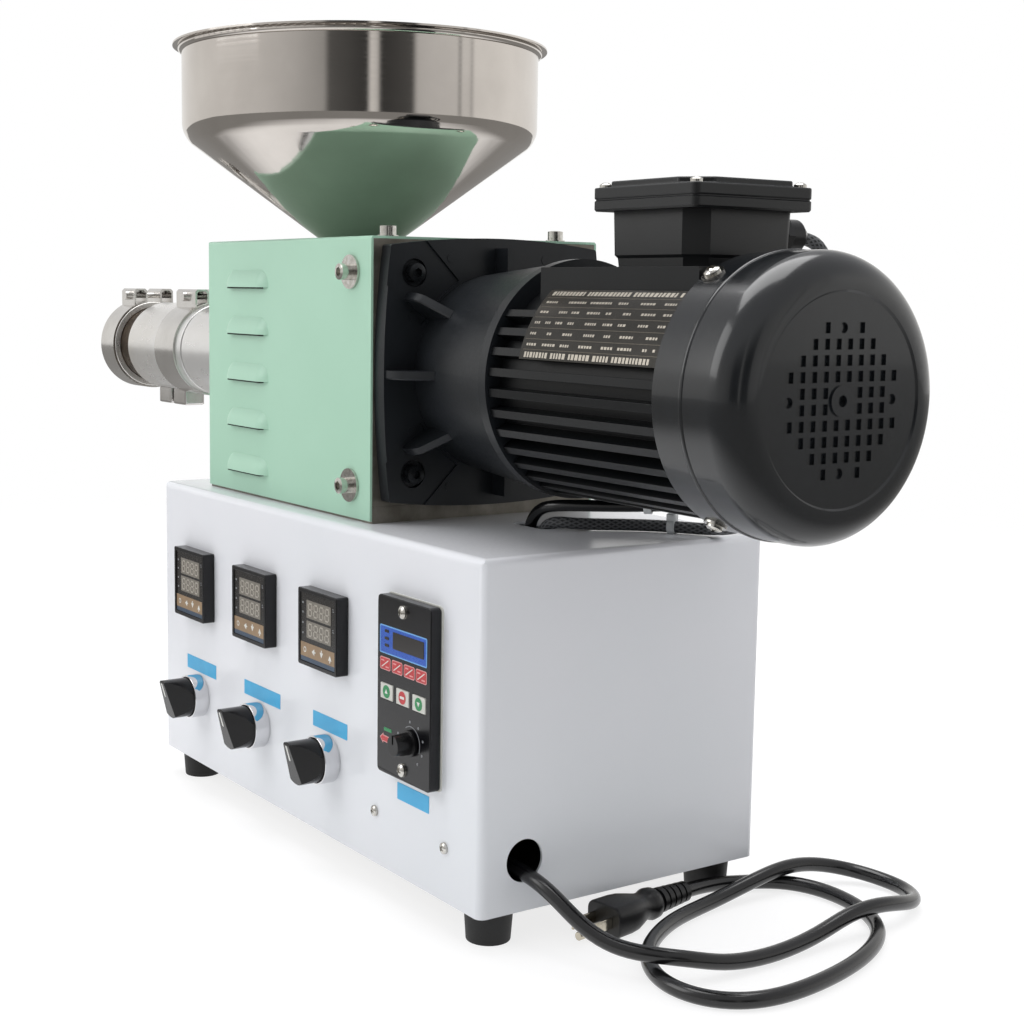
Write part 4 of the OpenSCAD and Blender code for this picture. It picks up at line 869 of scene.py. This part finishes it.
# Flange: cast gussets over its ribs and the marks left by the mould's pins
GUSSET = [(-136, 55), (-107, 55), (-107, 62.5), (-119.2, 78), (-126, 80.5), (-136, 80.5)]
gussets = []
for angle in (0, 180, 35, 145, 215, 325):
    out = away(angle)
    points, faces = slab(GUSSET, 5.2, 0.8, -2.6)
    points = [tuple(MOTOR_AXIS + x * X_AXIS + r * out + d * X_AXIS.cross(out)) for x, r, d in points]
    gussets.append(((points, faces), CAST_ENAMEL))
piece("flange_gussets", gussets, WHOLE, outward=True)
PIN_MARKS = [(a * s, b) for a, b in ((62, 34), (35, 69), (62, -34), (53, -25), (35, -69)) for s in (-1, 1)]
repeated("flange_pin_marks", ROUND_CHIPS,
         [(MOTOR_AXIS + Vector((-133.02, a, b)), X_AXIS, Y_AXIS, (5.2, 5.2)) for a, b in PIN_MARKS],
         {"Thickness": 0.35}, CAST_ENAMEL)

# Selector handles: a white line down the upper half of the sloping front
HANDLE_Z, HANDLE_Y, HANDLE_DEEP, HANDLE_HIGH = 49.5, -10.5, 19, 12.1
SLOPE = math.atan2(7.5, 25.7)
LINE_DOWN = 5.2
line_y = HANDLE_Y - HANDLE_DEEP + LINE_DOWN * math.tan(SLOPE)
line_up = (0, -math.sin(SLOPE), math.cos(SLOPE))
for side, x in zip(SIDES, COLUMNS):
    piece(f"handle_{side}_line", [(pad(0, 0, 1.7, 10.2, 0.7, 0.25, 0.08, -0.05), WHITE_PRINT)],
          seat(x, line_y, HANDLE_Z + HANDLE_HIGH - LINE_DOWN, X_AXIS, line_up),
          body="handle_" + side)


# Fasteners
def screws(name, tree, spots, radius, height, crown, recess, washer, thickness, material):
    """Screws at (point, facing), each turned in to an angle of its own."""
    placed = []
    for i, (at, facing) in enumerate(spots):
        facing = Vector(facing).normalized()
        first = facing.orthogonal().normalized()
        angle = math.radians(40 + 67 * i)
        heading = first * math.cos(angle) + facing.cross(first) * math.sin(angle)
        placed.append((at, facing, heading, (1 / MM, 1 / MM)))
    top = thickness + height
    ball = (radius**2 + crown**2) / (2 * crown)
    repeated(name, tree, placed, {
        "Head radius": radius, "Head height": height, "Head middle": top - height / 2,
        "Crown ball radius": ball, "Crown ball middle": top - ball, "Top": top,
        "Recess width": recess, "Recess slot": 0.3 * recess, "Recess depth": 0.9 * height,
        "Washer radius": washer, "Washer thickness": thickness, "Washer middle": thickness / 2,
    }, material)


FRONT_WAY = -Y_AXIS
COVER_TOP = span("feed_cover")[1].z
screws("cabinet_screws", CROSS_SCREWS, [((-108.8, 0, 31.6), FRONT_WAY), ((-34.3, 0, 30.7), FRONT_WAY)],
       3.2, 2.2, 1.2, 3.4, 3.3, 0.3, ZINC_SCREW)
screws("speed_panel_screws", CROSS_SCREWS, [((-66, -8, z), FRONT_WAY) for z in (158, 68)],
       3.7, 2.6, 1.5, 4.2, 3.8, 0.3, ZINC_SCREW)
screws("cover_side_screws", SOCKET_SCREWS,
       [((-167.5, y, z), way) for y, way in ((16, FRONT_WAY), (184, Y_AXIS)) for z in (346.3, 217.3)],
       4.9, 7.6, 0.7, 5.8, 10.3, 1.6, ZINC_SCREW)
screws("cover_top_screws", SOCKET_SCREWS, [((-154, y, COVER_TOP), Z_AXIS) for y in (33.5, 158.5)],
       4.9, 6.2, 0.7, 5.8, 6.2, 0.8, ZINC_SCREW)
screws("flange_bolts", SOCKET_SCREWS,
       [(MOTOR_AXIS + Vector((-137.2, a, b)), X_AXIS) for a in (-60, 60) for b in (-60, 60)],
       5.6, 6.4, 0.9, 5.8, 7.6, 1.2, BLACK_OXIDE)
screws("lid_screws", CROSS_SCREWS,
       [((BOX_MID.x + a, BOX_MID.y + b, 390), Z_AXIS) for a in (-35.2, 35.2) for b in (-35.2, 35.2)],
       3.3, 2.6, 1.4, 3.8, 3.4, 0.3, ZINC_SCREW)
screws("fan_cover_screws", CROSS_SCREWS,
       [(MOTOR_AXIS + 101.5 * X_AXIS + 70.4 * away(angle), away(angle)) for angle in (57, 177, -63)],
       4.2, 3.0, 1.6, 4.8, 6.0, 1.1, ZINC_SCREW)


# Nameplate: a curved foil over the fins, with plain rules and dashes where it would be lettered
PLATE_R, PLATE_X, PLATE_ANGLES = 67.0, (-19, 95.0), (12, 49)
MARKS_R = PLATE_R + 0.46


def wrapped(thick, steps=24):
    """The plate's sheet, bent round the motor's axis."""
    low, high = PLATE_ANGLES
    rows = [low + (high - low) * i / steps for i in range(steps + 1)]
    points = [tuple(MOTOR_AXIS + x * X_AXIS + r * away(angle))
              for r in (PLATE_R, PLATE_R + thick) for angle in rows for x in PLATE_X]
    n = 2 * (steps + 1)
    faces = []
    for i in range(steps):
        a, b, c, d = 2 * i, 2 * i + 1, 2 * i + 3, 2 * i + 2
        faces += [(a, d, c, b), (n + a, n + b, n + c, n + d), (a, n + a, n + d, d), (b, c, n + c, n + b)]
    faces += [(0, 1, n + 1, n), (n - 2, 2 * n - 2, 2 * n - 1, n - 1)]
    return points, faces


def plate_mark(x, angle, length, tall):
    return MOTOR_AXIS + x * X_AXIS + MARKS_R * away(angle), away(angle), X_AXIS, (length, tall)


piece("nameplate", [(wrapped(0.5), PLATE_FOIL)], WHOLE, outward=True)
rules = [plate_mark(sum(PLATE_X) / 2, angle, 110, 0.3) for angle in (16.6, 21.6, 27, 32.6, 38.2, 43.8)]
# A row's dashes: how tall they are, their shortest and longest, and the gap between two
TITLE_ROW, TEXT_ROW = (3.0, 1.3, 2.6, 0.9), (1.4, 0.9, 2.0, 0.7)
dashes, luck = [], random.Random(7)
for angle, row, group in ((14.2, TITLE_ROW, 8), (19.0, TEXT_ROW, 4), (24.3, TEXT_ROW, 3), (29.8, TEXT_ROW, 3),
                          (35.4, TEXT_ROW, 3), (41, TEXT_ROW, 5), (46.4, TITLE_ROW, 10)):
    tall, shortest, longest, gap = row
    x, run = PLATE_X[0] + 4, group
    while x < PLATE_X[1] - 5:
        length = luck.uniform(shortest, longest)
        dashes.append(plate_mark(x + length / 2, angle, length, tall))
        x += length + gap
        run -= 1
        if run <= 0:
            x += luck.uniform(3, 10) if row is TEXT_ROW else 2
            run = round(group * luck.uniform(0.6, 1.6))
repeated("nameplate_rules", SQUARE_CHIPS, rules, {"Thickness": 0.08}, FOIL_RULE)
repeated("nameplate_dashes", SQUARE_CHIPS, dashes, {"Thickness": 0.08}, FOIL_LINE)


# Floor: white paper that keeps the object's shadow, and fades into the white background
def any_of(tree, *kinds):
    """1 for a ray of any of those kinds."""
    ray = add(tree, "ShaderNodeLightPath").outputs
    found = ray[f"Is {kinds[0]} Ray"]
    for kind in kinds[1:]:
        found = add(tree, "ShaderNodeMath", {0: found, 1: ray[f"Is {kind} Ray"]}, operation="MAXIMUM")
    return found


WHITE = (1, 1, 1, 1)
paper = bpy.data.materials.new("studio_paper")
paper.use_nodes = True
sheet = paper.node_tree
sheet.nodes.clear()
from_middle = add(sheet, "ShaderNodeVectorMath", {0: add(sheet, "ShaderNodeTexCoord").outputs["Object"]},
                  operation="LENGTH").outputs["Value"]
glow = add(sheet, "ShaderNodeEmission", {"Color": WHITE, "Strength": 0.78})
shaded = add(sheet, "ShaderNodeBsdfDiffuse", {"Color": (0.28, 0.28, 0.285, 1)})
near = add(sheet, "ShaderNodeAddShader", {0: glow, 1: shaded})
white = add(sheet, "ShaderNodeEmission", {"Color": WHITE, "Strength": 1.0})
far = add(sheet, "ShaderNodeMapRange", {"Value": from_middle, "From Min": 0.75, "From Max": 1.7},
          interpolation_type="SMOOTHSTEP")
seen = add(sheet, "ShaderNodeMixShader", {0: far, 1: near, 2: white})
# In polished metal the paper ends, and the darker floor of the room shows beyond it
room_floor = add(sheet, "ShaderNodeEmission", {"Color": (1, 0.98, 0.95, 1), "Strength": 0.30})
past = add(sheet, "ShaderNodeMapRange", {"Value": from_middle, "From Min": 0.34, "From Max": 0.85},
           interpolation_type="SMOOTHSTEP")
mirrored = add(sheet, "ShaderNodeMixShader", {0: past, 1: near, 2: room_floor})
shown = add(sheet, "ShaderNodeMixShader", {0: any_of(sheet, "Glossy"), 1: seen, 2: mirrored})
plain = add(sheet, "ShaderNodeBsdfDiffuse", {"Color": colour("#FAFAFA")})
surface = add(sheet, "ShaderNodeMixShader",
              {0: any_of(sheet, "Camera", "Glossy", "Transmission"), 1: plain, 2: shown})
add(sheet, "ShaderNodeOutputMaterial", {"Surface": surface})

FLOOR_REACH = 6.0
floor_mesh = bpy.data.meshes.new("floor")
floor_ends = [(x * FLOOR_REACH, y * FLOOR_REACH, 0.0) for x, y in ((-1, -1), (1, -1), (1, 1), (-1, 1))]
floor_mesh.from_pydata(floor_ends, [], [(0, 1, 2, 3)])
floor_mesh.materials.append(paper)
floor = bpy.data.objects.new("floor", floor_mesh)
scene.collection.objects.link(floor)

# World: white where it is seen and a soft fill for the object. Its mirror image is a studio:
# pale walls with a few dark openings in them, by the way round, under a pale ceiling
world = bpy.data.worlds.new("studio")
scene.world = world
world.use_nodes = True
sky = world.node_tree
sky.nodes.clear()
FILL_LEFT, FILL_RIGHT = 0.68, 0.46
WALLS = ((-180, 0.90), (-120, 0.82), (-96, 0.72), (-74, 0.60), (-53, 0.42), (-50, 0.12), (-26, 0.05),
         (-24.5, 0.90), (-20, 0.70), (-18, 0.05), (2, 0.10), (5, 0.62), (33, 0.75), (34.5, 0.20), (36, 0.80),
         (42, 0.80), (43, 0.45), (46, 0.95), (80, 1.0), (150, 0.90))
way = add(sky, "ShaderNodeSeparateXYZ", {0: add(sky, "ShaderNodeTexCoord").outputs["Generated"]}).outputs
round_it = add(sky, "ShaderNodeMath", {0: way[1], 1: way[0]}, operation="ARCTAN2")
turn = add(sky, "ShaderNodeMapRange", {"Value": round_it, "From Min": -math.pi, "From Max": math.pi})
wall = add(sky, "ShaderNodeValToRGB", {0: turn})
stops = wall.color_ramp.elements
for degrees, grey in WALLS:
    stop = stops[0] if degrees == -180 else stops.new((degrees + 180) / 360)
    stop.color = (grey, grey * 0.99, grey * 0.97, 1)
stops[-1].color = stops[0].color
ceiling = add(sky, "ShaderNodeMapRange", {"Value": way[2], "From Min": 0.22, "From Max": 0.6},
              interpolation_type="SMOOTHSTEP")
room = add(sky, "ShaderNodeMix", {0: ceiling, 6: wall, 7: (0.62, 0.62, 0.63, 1)}, data_type="RGBA")
fill = add(sky, "ShaderNodeMapRange", {"Value": way[0], "From Min": -1, "From Max": 1, "To Min": FILL_LEFT,
                                       "To Max": FILL_RIGHT})
mirror = add(sky, "ShaderNodeMix", {0: any_of(sky, "Glossy"), 6: fill, 7: room.outputs[2]}, data_type="RGBA")
light = add(sky, "ShaderNodeMix", {0: any_of(sky, "Camera", "Transmission"), 6: mirror.outputs[2], 7: WHITE},
            data_type="RGBA")
background = add(sky, "ShaderNodeBackground", {"Color": light.outputs[2], "Strength": 1.0})
add(sky, "ShaderNodeOutputWorld", {"Surface": background})


def lamp(name, at, to, width, height, watts):
    data = bpy.data.lights.new(name, "AREA")
    data.shape = "RECTANGLE"
    data.size, data.size_y = width, height
    data.energy = watts
    thing = bpy.data.objects.new(name, data)
    scene.collection.objects.link(thing)
    aim = (Vector(to) - Vector(at)).to_track_quat("-Z", "Y").to_matrix().to_4x4()
    thing.matrix_world = Matrix.Translation(at) @ aim
    return thing


lamp("key", (-0.9, -2.0, 1.6), (-0.1, 0, 0.25), 1.6, 1.6, 18.5)
lamp("top", (-0.2, 0.1, 2.2), (-0.1, 0, 0.2), 2.0, 1.6, 36)
# A lamp that fills in from behind without showing in the polished metal
lamp("back", (0.8, 1.9, 1.5), (0, 0, 0.25), 1.8, 1.6, 7).visible_glossy = False
